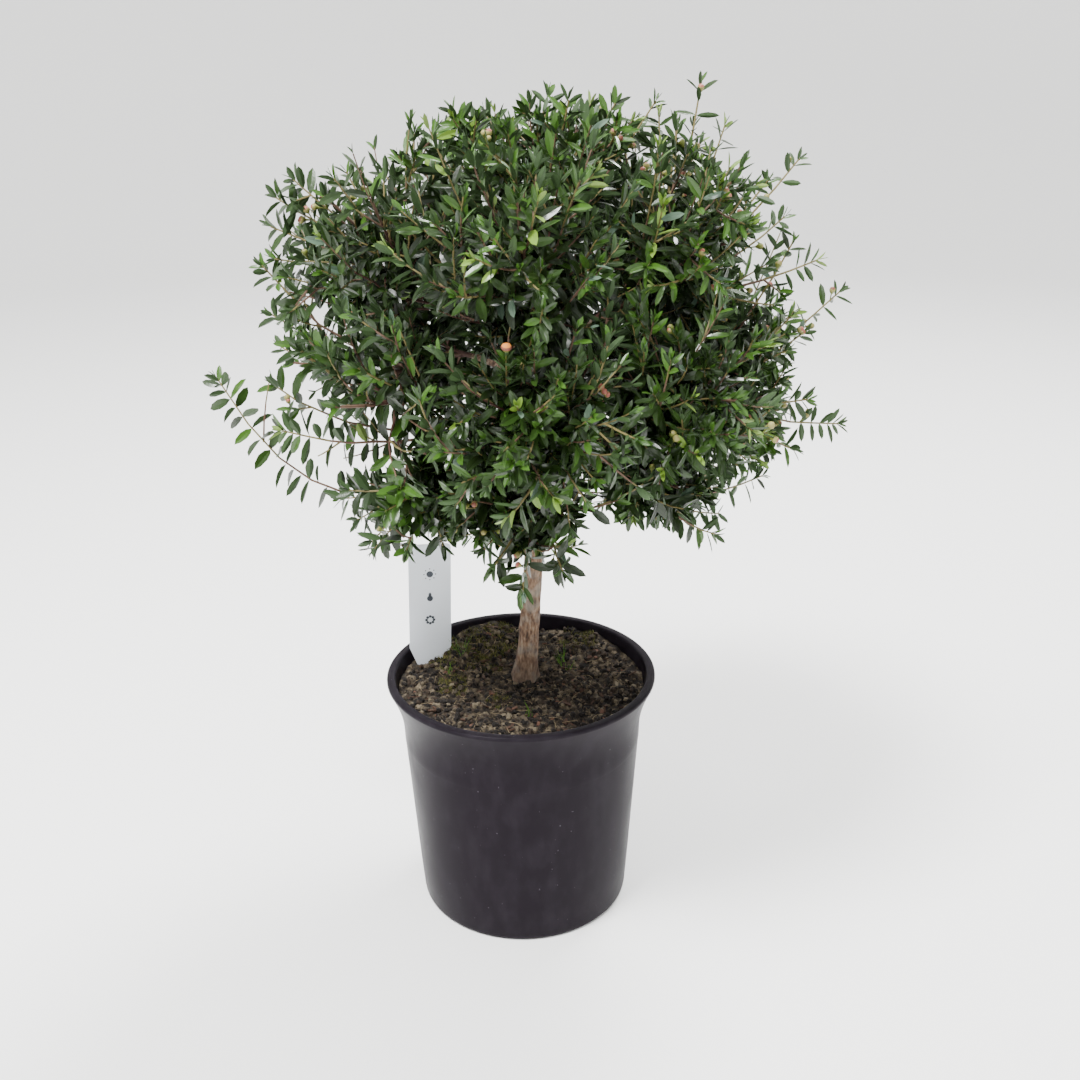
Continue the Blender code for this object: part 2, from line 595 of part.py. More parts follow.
class Mass:
    """One mass of foliage: a stem with twigs and leaves, gathered as loose shapes and then fused."""

    def __init__(self, name, toward, cell, seed):
        """toward is the stem's direction from the hub, and cell the space that it keeps to."""
        self.name = name
        self.toward = toward
        self.cell = cell
        self.rng = random.Random(seed)
        self.grown = []
        self.pieces = bpy.data.collections.new(name)
        bpy.context.scene.collection.children.link(self.pieces)
        foot = BARE_RADIUS + GAP
        end = crown_reach(toward) - LEAF_RUN
        self.stem = (HUB + toward * foot, HUB + toward * 0.5 * (foot + end), HUB + toward * end)
        shape = bmesh.new()
        closed_tube(shape, limb_rings(*self.stem, STEM_RADIUS, STEM_TIP_RADIUS, STEM_SIDES, TWIG_STATIONS))
        self.bearer = BVHTree.FromBMesh(shape)
        self.grown.append(self.bearer)
        self.base = object_of(name, shape, "leaf")

    def add(self, shape):
        """Adds a loose closed shape to what is fused to the stem."""
        object_of(f"{self.name}_piece", shape, "leaf", self.pieces)

    def add_twig(self, way, length, share, pairs, buds=()):
        """Grows a twig from the stem to a place in the crown, with what it bears, unless it would leave."""
        start, _ = spine_place(self.stem, share, TWIG_STATIONS)
        end = HUB + way * length
        reach = end - start
        control = start + 0.5 * reach.length * self.toward.lerp(reach.normalized(), 1.0 - TWIG_LIFT)
        rings = limb_rings(start, control, end, TWIG_RADIUS, TWIG_TIP_RADIUS, TWIG_SIDES, TWIG_STATIONS)
        corners = [corner for each in rings for corner in each]
        if not self.cell.holds(corners, BARE_RADIUS + GAP) or not self.cell.holds([end], 0.0, TWIG_EDGE):
            return False
        shape = bmesh.new()
        closed_tube(shape, rings)
        self.bearer = BVHTree.FromBMesh(shape)
        self.grown.append(self.bearer)
        self.add(shape)
        for place in buds:
            node, axis = spine_place((start, control, end), place, TWIG_STATIONS)
            self.add_grown(bud_shape(node, axis, self.rng.uniform(0, math.tau)))
        self.add_leaves((start, control, end), pairs)
        return True

    def add_leaves(self, line, pairs):
        """Puts opposite pairs of leaves along a line, each pair square to the last, and one at the tip."""
        turn = self.rng.uniform(0, math.pi)
        for share in pairs:
            node, axis = spine_place(line, share, TWIG_STATIONS)
            for half in (0, 1):
                spot = node + half * LEAF_STEP * axis
                self.add_leaf(spot, axis, turn + half * math.pi, self.rng.uniform(0.9, 1.1), LEAF_SPREAD)
            turn += math.pi / 2
        node, axis = spine_place(line, 1.0, TWIG_STATIONS)
        self.add_leaf(node - LEAF_STEP * axis, axis, turn, *TIP_LEAF)

    def add_leaf(self, node, axis, turn, size, spread):
        """Adds one leaf, turned or folded in where it would leave the space or cross another growth."""
        spread += self.rng.uniform(-LEAF_SPREAD_VARIES, LEAF_SPREAD_VARIES)
        for share, twist in LEAF_TRIES:
            if self.add_grown(leaf_shape(node, axis, turn + twist, size, share * spread)):
                return

    def add_grown(self, shape):
        """Adds a leaf or bud that stays in the space and meets nothing but its own twig."""
        tree = BVHTree.FromBMesh(shape)
        fits = self.cell.holds([v.co for v in shape.verts], BARE_RADIUS + LEAF_CLEARANCE)
        fits = fits and not any(tree.overlap(other) for other in self.grown if other is not self.bearer)
        if fits:
            self.grown.append(tree)
            self.add(shape)
        else:
            shape.free()
        return fits

    def add_core(self):
        """Adds the close inner growth as one uneven lump round the stem, inside the mass's own space."""
        inner, outer = BARE_RADIUS + CORE_INSIDE, crown_reach(self.toward) - CORE_OUTSIDE
        radial = 0.5 * (outer - inner)
        if radial < CORE_LEAST:
            return
        centre = HUB + self.toward * 0.5 * (inner + outer)
        sideways = CORE_WIDEST * self.cell.depth(centre)
        u, v = across(self.toward)
        shape = bmesh.new()
        bmesh.ops.create_icosphere(shape, subdivisions=2, radius=1.0)
        for vert in shape.verts:
            way = vert.co.normalized()
            spot = centre + sideways * (way.x * u + way.y * v) + radial * way.z * self.toward
            while not self.core_may_reach(spot, inner):
                spot = centre.lerp(spot, CORE_DRAW)
            vert.co = centre.lerp(spot, self.rng.uniform(CORE_ROUGHEST, 1.0))
        self.grown.append(BVHTree.FromBMesh(shape))
        self.add(shape)

    def core_may_reach(self, spot, inner):
        """Whether a place is clear of the mass's walls, the boughs and the outer leaves."""
        offset = spot - HUB
        outer = crown_reach(offset.normalized()) - CORE_OUTSIDE
        return offset.length < outer and self.cell.holds([spot], inner, CORE_SHY)

    def fuse(self):
        """Joins stem, twigs, leaves and core into one closed solid, and clears the loose shapes."""
        union = self.base.modifiers.new("fuse", "BOOLEAN")
        union.operation = "UNION"
        union.operand_type = "COLLECTION"
        union.collection = self.pieces
        union.solver = "EXACT"
        apply_modifiers(self.base)
        for piece in list(self.pieces.objects):
            mesh = piece.data
            bpy.data.objects.remove(piece)
            bpy.data.meshes.remove(mesh)
        bpy.data.collections.remove(self.pieces)


def leaf_shape(node, axis, turn, size, spread):
    """A leaf of four faces, arched above and keeled below, its base run through its twig's middle."""
    u, v = across(axis)
    side = math.cos(turn) * u + math.sin(turn) * v
    lean = math.radians(spread)
    along = math.cos(lean) * axis + math.sin(lean) * side
    face = math.sin(lean) * axis - math.cos(lean) * side
    wide = 0.5 * LEAF_WIDTH * along.cross(face)
    length = LEAF_LENGTH * size
    middle = node + LEAF_WIDEST * length * along + LEAF_THICKNESS * face
    spots = (node - LEAF_ROOT * along, node + length * along, middle - wide, middle + wide)
    shape = bmesh.new()
    corners = [shape.verts.new(spot) for spot in spots]
    for left_out in corners:
        shape.faces.new([corner for corner in corners if corner is not left_out])
    bmesh.ops.recalc_face_normals(shape, faces=shape.faces)
    return shape


def bud_shape(node, axis, turn):
    """A round bud of eight faces that narrows to its stalk's foot in its twig's middle."""
    u, v = across(axis)
    side = math.cos(turn) * u + math.sin(turn) * v
    lean = math.radians(BUD_SPREAD)
    along = math.cos(lean) * axis + math.sin(lean) * side
    shape = bmesh.new()
    widest = ring(node + BUD_WIDEST * BUD_REACH * along, along, side.cross(axis), BUD_RADIUS, 4)
    around = [shape.verts.new(spot) for spot in widest]
    for end in (node - LEAF_ROOT * along, node + BUD_REACH * along):
        point = shape.verts.new(end)
        for k in range(4):
            shape.faces.new((around[k], around[(k + 1) % 4], point))
    bmesh.ops.recalc_face_normals(shape, faces=shape.faces)
    return shape


def build_crown():
    """Every bough with its mass: the core, then the long shoots, the even growth and the union."""
    planned = crown_masses()
    masses = []
    for seed, (name, toward, root_height) in enumerate(planned):
        cell = Cell(toward, [other for _, other, _ in planned if other is not toward])
        mass = Mass(name, toward, cell, seed + 1)
        if name not in OPEN_MASSES:
            mass.add_core()
        masses.append(mass)
        if root_height is not None:
            build_bough(name.replace("mass", "bough"), toward, root_height)

    def owner(way):
        return max(masses, key=lambda mass: mass.toward.dot(way))

    for k, (azimuth, elevation, length, buds) in enumerate(SHOOTS):
        way = direction(azimuth, elevation)
        root = SHOOT_FIRST + SHOOT_STEP * (k % SHOOT_STEPS)
        wood = length - SHOOT_TIP_LEAF * LEAF_LENGTH
        owner(way).add_twig(way, wood, root, SHOOT_PAIRS, BUD_PLACES[:buds])
    for k, target in enumerate(twig_targets()):
        mass = owner(target)
        # A twig that would meet a wall of the space is drawn in towards its stem.
        for pull in TWIG_PULLS:
            way = target.lerp(mass.toward, pull).normalized()
            length = crown_reach(way) - LEAF_RUN * mass.rng.uniform(*LEAF_RUN_VARIES)
            if mass.add_twig(way, length, TWIG_FIRST + TWIG_STEP * (k % TWIG_STEPS), LEAF_PAIRS):
                break
    for mass in masses:
        mass.bearer = mass.grown[0]
        mass.add_leaves(mass.stem, LEAF_PAIRS)
        mass.fuse()


def main():
    """Clears the scene and builds the plant and its pot."""
    for old in list(bpy.data.objects):
        bpy.data.objects.remove(old)
    build_pot()
    build_soil()
    object_of("plant_label", label_blade(0.0), "label")
    build_trunk()
    build_crown()


main()
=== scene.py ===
"""The looks of a small-leaved evergreen grown as a ball on a clear stem, in its nursery pot.

Units are metres and +Z is up. The origin is the middle of the pot's flat underside. Azimuths are
degrees round +Z, from the front (-Y) towards the right (+X), and elevations are above the horizon.

The crown grows by the rule of its solids: boughs leave the trunk, each bears one mass of foliage in
its own cone seen from the hub, and twigs run from the mass's stem to places spread evenly over the
outline. Here the rule is carried on to side shoots, leaf pairs, buds and stalks at their own size.
"""

import logging
import math
import random
from collections.abc import Sequence
from dataclasses import dataclass, field
from enum import Enum, IntEnum
from functools import partial

import bmesh
import bpy
import numpy as np
from bmesh.types import BMesh
from bpy.types import Material, Mesh, Node, NodeSocket, NodeTree
from mathutils import Matrix, Vector, noise


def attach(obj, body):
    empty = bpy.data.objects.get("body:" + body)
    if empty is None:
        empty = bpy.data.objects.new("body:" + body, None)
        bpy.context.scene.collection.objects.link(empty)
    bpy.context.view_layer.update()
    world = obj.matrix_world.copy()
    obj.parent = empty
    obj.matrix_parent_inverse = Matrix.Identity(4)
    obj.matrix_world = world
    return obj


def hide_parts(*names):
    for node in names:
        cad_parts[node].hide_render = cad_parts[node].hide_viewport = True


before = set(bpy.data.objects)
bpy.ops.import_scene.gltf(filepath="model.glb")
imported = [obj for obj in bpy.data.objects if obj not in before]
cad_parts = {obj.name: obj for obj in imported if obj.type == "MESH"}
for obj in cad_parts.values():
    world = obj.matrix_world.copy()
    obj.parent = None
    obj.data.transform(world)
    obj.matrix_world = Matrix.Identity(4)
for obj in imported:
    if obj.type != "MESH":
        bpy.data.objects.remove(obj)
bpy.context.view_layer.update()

LOG = logging.getLogger("standard")
MM = 0.001
BODY = "root"
UP = Vector((0.0, 0.0, 1.0))

Pair = tuple[float, float]
Size = tuple[float, float, float]
Rows = tuple[tuple[float, ...], ...]

# A colour ramp's stops, each a place and an sRGB hex colour
Stops = tuple[tuple[float, str], ...]

# Sockets 1 to 4 of a Map Range node: two values of the pattern, and what each of them becomes
Span = tuple[float, float, float, float]

# Numbers of the colour sockets on a Mix node
MIX_UNDER, MIX_OVER, MIX_RESULT = 6, 7, 2


# ---- Colours, nodes and finishes


def linear(hex_colour: str) -> tuple[float, float, float, float]:
    """Turns an sRGB hex colour into a linear one.

    Args:
        hex_colour: Six hex digits, with or without a leading #.

    Returns:
        The linear red, green and blue, and an alpha of one.
    """
    digits = hex_colour.lstrip("#")
    values = [int(digits[k : k + 2], 16) / 255 for k in (0, 2, 4)]
    red, green, blue = (v / 12.92 if v <= 0.04045 else ((v + 0.055) / 1.055) ** 2.4 for v in values)
    return red, green, blue, 1.0


def per_size(size_mm: float) -> float:
    """The scale of a noise whose lumps are so many millimetres wide."""
    return 1.0 / (size_mm * MM)


def add_node(
    tree: NodeTree,
    kind: str,
    inputs: dict[str | int, object] | None = None,
    stops: Stops = (),
    **settings: object,
) -> Node:
    """Adds one node to a tree.

    Args:
        tree: The material's nodes.
        kind: The node's type name.
        inputs: Sockets by name or number, each with a value or with the output that feeds it.
        stops: For a colour ramp, its stops, the lowest first.
        **settings: The node's own properties.

    Returns:
        The new node.
    """
    node = tree.nodes.new(kind)
    for name, value in settings.items():
        setattr(node, name, value)
    for name, value in (inputs or {}).items():
        if isinstance(value, NodeSocket):
            tree.links.new(value, node.inputs[name])
        else:
            node.inputs[name].default_value = value
    for k, (place, colour) in enumerate(stops):
        points = node.color_ramp.elements
        point = points[k] if k < len(points) else points.new(place)
        point.position = place
        point.color = linear(colour)
    return node


@dataclass(frozen=True)
class Finish:
    """What every finish shares: its name, base colour as sRGB hex, roughness and index of refraction.

    That last one sets how strong its gloss is.
    """

    name: str
    colour: str
    roughness: float
    ior: float = 1.45

    def material(self) -> Material:
        """The finish as a material, made once."""
        made = bpy.data.materials.get(self.name)
        if made is None:
            made = bpy.data.materials.new(self.name)
            made.use_nodes = True
            made.diffuse_color = linear(self.colour)
            shader = made.node_tree.nodes["Principled BSDF"]
            shader.inputs["Base Color"].default_value = linear(self.colour)
            shader.inputs["Roughness"].default_value = self.roughness
            shader.inputs["IOR"].default_value = self.ior
            self.dress(shader)
        return made

    def dress(self, shader: Node) -> None:
        """Adds the finish's own pattern. The plain finish has none.

        Args:
            shader: The material's shader.
        """


@dataclass(frozen=True)
class MouldedPot(Finish):
    """Recycled polypropylene, injection moulded: near black with a violet cast and a soft satin gloss.

    The eye reads it by its wide dull highlight, a fine orange-peel skin, faint drag lines from the
    mould, and the dust and pale scuffs that a nursery bench leaves.
    """

    # The colour of dust and scuffs
    dust: str = "#5f5b63"
    # Dusty patches, drag lines with what draws them out upright, and pale specks
    smudge_mm: float = 26.0
    drag_mm: float = 9.0
    drag_squeeze: float = 0.4
    speck_mm: float = 2.2
    # The moulded skin's unevenness, drawn coarser than life so that it shows
    peel_mm: float = 0.5
    peel_depth_mm: float = 0.03
    # How dusty the patches and how pale the specks are, and the roughness from polished to worn
    film: Span = (0.2, 0.42, 0.0, 0.05)
    scuffs: Span = (0.77, 0.8, 0.0, 0.5)
    dulling: Span = (0.1, 0.5, 0.3, 0.44)

    def dress(self, shader: Node) -> None:
        """Adds dusty patches, pale specks, drag lines and the moulded skin.

        Args:
            shader: The material's shader.
        """
        tree = shader.id_data
        add = partial(add_node, tree)
        place = add("ShaderNodeTexCoord").outputs["Object"]
        squeezed = {"Vector": place, "Scale": (1.0, 1.0, self.drag_squeeze)}
        drawn = add("ShaderNodeMapping", squeezed).outputs[0]
        smudge, drag, speck = (
            add("ShaderNodeTexNoise", {"Vector": at, "Scale": per_size(size), "Detail": fine}).outputs[0]
            for at, size, fine in (
                (place, self.smudge_mm, 5.0), (drawn, self.drag_mm, 4.0), (place, self.speck_mm, 1.0)
            )
        )
        worn = add("ShaderNodeMath", {0: smudge, 1: drag}, operation="MULTIPLY").outputs[0]
        film = add("ShaderNodeMapRange", {"Value": worn, **dict(enumerate(self.film, 1))}).outputs[0]
        scuff = add("ShaderNodeMapRange", {"Value": speck, **dict(enumerate(self.scuffs, 1))}).outputs[0]
        share = add("ShaderNodeMath", {0: film, 1: scuff}, operation="MAXIMUM").outputs[0]
        colours = {0: share, MIX_UNDER: linear(self.colour), MIX_OVER: linear(self.dust)}
        dusty = add("ShaderNodeMix", colours, data_type="RGBA").outputs[MIX_RESULT]
        tree.links.new(dusty, shader.inputs["Base Color"])
        rough = add("ShaderNodeMapRange", {"Value": worn, **dict(enumerate(self.dulling, 1))}).outputs[0]
        tree.links.new(rough, shader.inputs["Roughness"])
        skin = {"Vector": place, "Scale": per_size(self.peel_mm), "Detail": 2.0}
        peel = add("ShaderNodeTexNoise", skin).outputs["Fac"]
        bump = add("ShaderNodeBump", {"Height": peel, "Distance": self.peel_depth_mm * MM})
        tree.links.new(bump.outputs["Normal"], shader.inputs["Normal"])


@dataclass(frozen=True)
class Peat(Finish):
    """Moist potting compost, sieved peat and composted bark: matt, dark and crumbly."""

    # Its patches, its crumbs, and the tones from black-brown crumbs to paler dry ones
    mottle_mm: float = 5.0
    crumb_mm: float = 1.3
    crumb_depth_mm: float = 0.9
    tones: Stops = ((0.34, "#100d0a"), (0.47, "#272019"), (0.56, "#433a2c"), (0.66, "#6c6150"))

    def dress(self, shader: Node) -> None:
        """Mottles the compost, and raises its crumbs.

        Args:
            shader: The material's shader.
        """
        tree = shader.id_data
        add = partial(add_node, tree)
        place = add("ShaderNodeTexCoord").outputs["Object"]
        patches = {"Vector": place, "Scale": per_size(self.mottle_mm), "Detail": 8.0}
        mottle = add("ShaderNodeTexNoise", patches).outputs["Fac"]
        tones = add("ShaderNodeValToRGB", {0: mottle}, self.tones).outputs["Color"]
        tree.links.new(tones, shader.inputs["Base Color"])
        crumbs = {"Vector": place, "Scale": per_size(self.crumb_mm), "Detail": 6.0}
        crumb = add("ShaderNodeTexNoise", crumbs).outputs["Fac"]
        bump = add("ShaderNodeBump", {"Height": crumb, "Distance": self.crumb_depth_mm * MM})
        tree.links.new(bump.outputs["Normal"], shader.inputs["Normal"])


@dataclass(frozen=True)
class YoungBark(Finish):
    """Thin flaking bark: pinkish brown where it is fresh, grey where it is old, in upright flakes."""

    # Its flakes, with what draws them out upright, and its grey patches
    flake_mm: float = 1.9
    flake_squeeze: float = 0.32
    flake_depth_mm: float = 0.6
    patch_mm: float = 11.0
    # From the cracks to the driest flakes
    tones: Stops = (
        (0.3, "#32251c"), (0.41, "#554033"), (0.5, "#705845"), (0.6, "#866e5a"), (0.74, "#9c8a76")
    )
    # The colour of the grey patches and how grey they are
    lichen: str = "#8c857a"
    patches: Span = (0.5, 0.66, 0.0, 0.55)
    # The colour that the bark darkens to towards its foot, and how much, by the height in metres
    foot_tone: str = "#4c443c"
    foot_darkening: Span = (0.162, 0.186, 0.6, 0.0)

    def dress(self, shader: Node) -> None:
        """Adds upright flakes, pale grey patches and a foot that darkens towards the compost.

        Args:
            shader: The material's shader.
        """
        tree = shader.id_data
        add = partial(add_node, tree)
        place = add("ShaderNodeTexCoord").outputs["Object"]
        squeezed = {"Vector": place, "Scale": (1.0, 1.0, self.flake_squeeze)}
        upright = add("ShaderNodeMapping", squeezed).outputs[0]
        flakes = {"Vector": upright, "Scale": per_size(self.flake_mm), "Detail": 8.0}
        flake = add("ShaderNodeTexNoise", flakes).outputs["Fac"]
        bark = add("ShaderNodeValToRGB", {0: flake}, self.tones).outputs["Color"]
        greys = {"Vector": place, "Scale": per_size(self.patch_mm), "Detail": 4.0}
        patch = add("ShaderNodeTexNoise", greys).outputs["Fac"]
        patched = add("ShaderNodeMapRange", {"Value": patch, **dict(enumerate(self.patches, 1))}).outputs[0]
        height = add("ShaderNodeSeparateXYZ", {0: place}).outputs["Z"]
        foot = add("ShaderNodeMapRange", {"Value": height, **dict(enumerate(self.foot_darkening, 1))}).outputs[0]
        for share, colour in ((patched, self.lichen), (foot, self.foot_tone)):
            layers = {0: share, MIX_UNDER: bark, MIX_OVER: linear(colour)}
            bark = add("ShaderNodeMix", layers, data_type="RGBA").outputs[MIX_RESULT]
        tree.links.new(bark, shader.inputs["Base Color"])
        bump = add("ShaderNodeBump", {"Height": flake, "Distance": self.flake_depth_mm * MM})
        tree.links.new(bump.outputs["Normal"], shader.inputs["Normal"])


@dataclass(frozen=True)
class Woody(Finish):
    """The thin skin of twigs, chips and stalks: matt, with a fine uneven grain."""

    # The grain's size and depth, and how many finer grains lie in it
    grain_mm: float = 1.2
    grain_depth_mm: float = 0.15
    grain_detail: float = 3.0

    def dress(self, shader: Node) -> None:
        """Adds the fine grain over a plain colour.

        Args:
            shader: The material's shader.
        """
        tree = shader.id_data
        add = partial(add_node, tree)
        place = add("ShaderNodeTexCoord").outputs["Object"]
        grains = {"Vector": place, "Scale": per_size(self.grain_mm), "Detail": self.grain_detail}
        grain = add("ShaderNodeTexNoise", grains).outputs["Fac"]
        bump = add("ShaderNodeBump", {"Height": grain, "Distance": self.grain_depth_mm * MM})
        tree.links.new(bump.outputs["Normal"], shader.inputs["Normal"])


@dataclass(frozen=True)
class Leaf(Woody):
    """A small firm evergreen leaf: a waxy skin over green, so the light lies on it in soft pale streaks.

    Its grain is the skin's faint unevenness, drawn coarser than the veins so that it shows.
    """

    grain_mm: float = 1.6
    grain_depth_mm: float = 0.12
    grain_detail: float = 2.0
    # The weight and roughness of the clear skin, and how strong the green's own gloss is, 0.5 being usual
    wax: float = 0.3
    wax_roughness: float = 0.16
    gloss: float = 0.3

    def dress(self, shader: Node) -> None:
        """Adds the waxy skin and its unevenness.

        Args:
            shader: The material's shader.
        """
        shader.inputs["Specular IOR Level"].default_value = self.gloss
        shader.inputs["Coat Weight"].default_value = self.wax
        shader.inputs["Coat Roughness"].default_value = self.wax_roughness
        super().dress(shader)


# The finishes of the pot, the compost and the label, whose skin has a fine grain too
POT_PLASTIC = MouldedPot("moulded_polypropylene_black", "#1b171c", 0.36, 1.11)
PEAT = Peat("potting_compost", "#2b1e15", 0.95)
PEAT_DARK = Woody("crumb_black_peat", "#130d09", 0.92)
PEAT_BROWN = Woody("crumb_brown_peat", "#2f251c", 0.92)
PEAT_GREY = Woody("crumb_grey_brown_peat", "#373026", 0.92)
PEAT_TAN = Woody("crumb_dry_peat", "#483f32", 0.92)
PEAT_PALE = Woody("crumb_pale_grit", "#645a48", 0.8)
CHIP_RED = Woody("bark_chip_red_brown", "#57392b", 0.8)
CHIP_BROWN = Woody("bark_chip_brown", "#3d2a1e", 0.85)
FIBRE_TAN = Woody("fibre_dry_tan", "#75674f", 0.85)
MOSS_OLIVE = Leaf("moss_olive", "#4a4d22", 0.75, wax=0.0)
MOSS_PALE = Leaf("moss_dry_yellow", "#6c6739", 0.8, wax=0.0)
MOSS_DARK = Leaf("moss_damp_green", "#363d17", 0.75, wax=0.0)
GRASS_GREEN = Leaf("grass_seedling_green", "#4f7a22", 0.45)
LABEL_WHITE = Woody("label_polystyrene_white", "#dfe4ea", 0.38, 1.55, grain_mm=0.6)
LABEL_INK = Finish("label_ink_grey", "#3a3f46", 0.6)

# The wood
BARK = YoungBark("bark_young_flaking", "#6f5442", 0.86)
TWIG_BROWN = Woody("twig_skin_red_brown", "#4a3027", 0.75)
TWIG_TAN = Woody("twig_skin_tan", "#60493a", 0.7)
TWIG_GREEN = Woody("twig_skin_young_green", "#6b6139", 0.6)

# The leaves, each tint plain, because their place is dealt out by shoot. The darker tints are also
# painted shade, given to shoots deep inside the ball and low under it
LEAF_DEEP_AND_SHADED = Leaf("leaf_upper_deep_green", "#18260c", 0.3)
LEAF_MID = Leaf("leaf_upper_mid_green", "#243913", 0.3)
LEAF_FRESH = Leaf("leaf_upper_fresh_green", "#38581c", 0.32)
LEAF_NEW = Leaf("leaf_upper_new_yellow_green", "#64822e", 0.38)
LEAF_DUSTY = Leaf("leaf_upper_limed_grey_green", "#4d6150", 0.48, wax=0.1)
LEAF_UNDER = Leaf("leaf_under_matt_green", "#35492a", 0.5, wax=0.0)
LEAF_UNDER_NEW = Leaf("leaf_under_new_pale_green", "#708746", 0.55, wax=0.0)

# Buds
BUD_CALYX = Leaf("bud_calyx_green", "#626a2e", 0.5, wax=0.1)
BUD_CREAM = Leaf("bud_petal_cream", "#89834e", 0.5, wax=0.1)
BUD_PINK = Leaf("bud_petal_pink", "#965a4c", 0.5, wax=0.1)
BUD_RUSSET = Leaf("bud_petal_russet", "#6f4234", 0.55, wax=0.1)
STAMEN_ORANGE = Leaf("stamen_spent_orange", "#b8702c", 0.6, wax=0.0)

# The studio's floor and wall
STUDIO_PAPER = Finish("studio_paper", "#f8f8f7", 0.9)


# ---- Making meshes


def added(name: str, data: bpy.types.ID) -> bpy.types.Object:
    """Puts a mesh, a light or a camera into the scene."""
    made = bpy.data.objects.new(name, data)
    bpy.context.scene.collection.objects.link(made)
    return made


def finished(
    name: str, mesh: Mesh, finishes: Sequence[Finish], nodes: Sequence[str] = ()
) -> None:
    """Puts a finished mesh into the scene as a piece of the plant in its pot.

    Args:
        name: The piece's name.
        mesh: Its mesh, already in place.
        finishes: Its finishes, in the order of the faces' material numbers.
        nodes: The solids that the piece stands for.
    """
    for finish in finishes:
        mesh.materials.append(finish.material())
    piece = added(name, mesh)
    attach(piece, BODY)
    if nodes:
        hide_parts(*nodes)
    LOG.info("%s: %d faces, stands for %d solids", name, len(mesh.polygons), len(nodes))


def shaded(mesh: Mesh, sharp_degrees: float) -> Mesh:
    """Makes a mesh smooth, but for the edges bent by more than so many degrees."""
    mesh.shade_smooth()
    mesh.set_sharp_from_angle(angle=math.radians(sharp_degrees))
    return mesh


def mesh_of(name: str, shape: BMesh, sharp_degrees: float | None = 35.0) -> Mesh:
    """Turns a bmesh into a mesh, and frees it.

    Args:
        name: The mesh's name.
        shape: The bmesh.
        sharp_degrees: Edges bent by more stay sharp, or None for flat faces.

    Returns:
        The mesh.
    """
    mesh = bpy.data.meshes.new(name)
    shape.to_mesh(mesh)
    shape.free()
    return mesh if sharp_degrees is None else shaded(mesh, sharp_degrees)


def spun(section: Sequence[Pair], steps: int) -> BMesh:
    """Turns a section round the upright axis, and closes its seam and its poles.

    Args:
        section: The radius and height of each of its points, in order.
        steps: The steps of the turn.

    Returns:
        The turned shape.
    """
    shape = bmesh.new()
    verts = [shape.verts.new((radius, 0.0, height)) for radius, height in section]
    edges = [shape.edges.new(pair) for pair in zip(verts, verts[1:])]
    turn = {"axis": UP, "cent": (0, 0, 0), "angle": math.tau, "steps": steps, "use_merge": True}
    bmesh.ops.spin(shape, geom=verts + edges, **turn)
    bmesh.ops.remove_doubles(shape, verts=shape.verts, dist=1e-6)
    return shape


def tube(sides: int, rings: int, top: float = 1.0) -> BMesh:
    """A closed upright tube, one unit tall about the origin, cut into even rings.

    Args:
        sides: The corners of each ring.
        rings: The rings from end to end.
        top: The radius of the topmost ring, the lowest having one.

    Returns:
        The tube.
    """
    shape = bmesh.new()
    bmesh.ops.create_cone(shape, cap_ends=True, segments=sides, radius1=1.0, radius2=top, depth=1.0)
    upright = [e for e in shape.edges if abs(e.verts[0].co.z - e.verts[1].co.z) > 0.5]
    bmesh.ops.subdivide_edges(shape, edges=upright, cuts=rings - 2, use_grid_fill=True)
    return shape


def direction(azimuth: float, elevation: float) -> Vector:
    """The unit vector at an azimuth and an elevation in degrees."""
    a, e = math.radians(azimuth), math.radians(elevation)
    return Vector((math.sin(a) * math.cos(e), -math.cos(a) * math.cos(e), math.sin(e)))


def across(axis: Vector) -> tuple[Vector, Vector]:
    """Two unit vectors square to an axis and to each other."""
    side = axis.cross(UP if abs(axis.z) < 0.9 else Vector((0, 1, 0))).normalized()
    return side, axis.cross(side).normalized()


def spoke(axis: Vector, turn: float) -> Vector:
    """The unit vector square to an axis, at a turn about it in radians."""
    side, other = across(axis)
    return math.cos(turn) * side + math.sin(turn) * other


def placed(spot: Vector, *axes: Vector) -> Matrix:
    """The matrix that sets a shape at a place, turned and sized by its three axes."""
    place = Matrix(axes).transposed().to_4x4()
    place.translation = spot
    return place


def bent(start: Vector, control: Vector, end: Vector, stations: int) -> list[Vector]:
    """Points on a curve from start to end, drawn towards control."""
    shares = [k / (stations - 1) for k in range(stations)]
    return [(1 - s) ** 2 * start + 2 * (1 - s) * s * control + s * s * end for s in shares]


@dataclass(frozen=True)
class Pattern:
    """A small closed shape held as arrays, to be repeated many times in one mesh."""

    # Its points, one row each, and the point numbers of the faces' corners, one face after another
    points: np.ndarray
    corners: np.ndarray
    # How many corners each face has, and which part of the shape it belongs to
    counts: np.ndarray
    parts: np.ndarray

    @classmethod
    def of(cls, shape: BMesh) -> "Pattern":
        """Reads a bmesh, and frees it.

        Args:
            shape: The bmesh.

        Returns:
            The shape as arrays.
        """
        shape.verts.index_update()
        points = np.array([v.co for v in shape.verts])
        corners = np.array([v.index for face in shape.faces for v in face.verts])
        counts = np.array([len(face.verts) for face in shape.faces])
        parts = np.array([face.material_index for face in shape.faces])
        shape.free()
        return cls(points, corners, counts, parts)

    def copies(self, places: Sequence[Matrix]) -> np.ndarray:
        """The points moved by each matrix, copies by points by three."""
        turns = np.array([[list(row) for row in place] for place in places])
        return np.einsum("mij,nj->mni", turns[:, :3, :3], self.points) + turns[:, None, :3, 3]


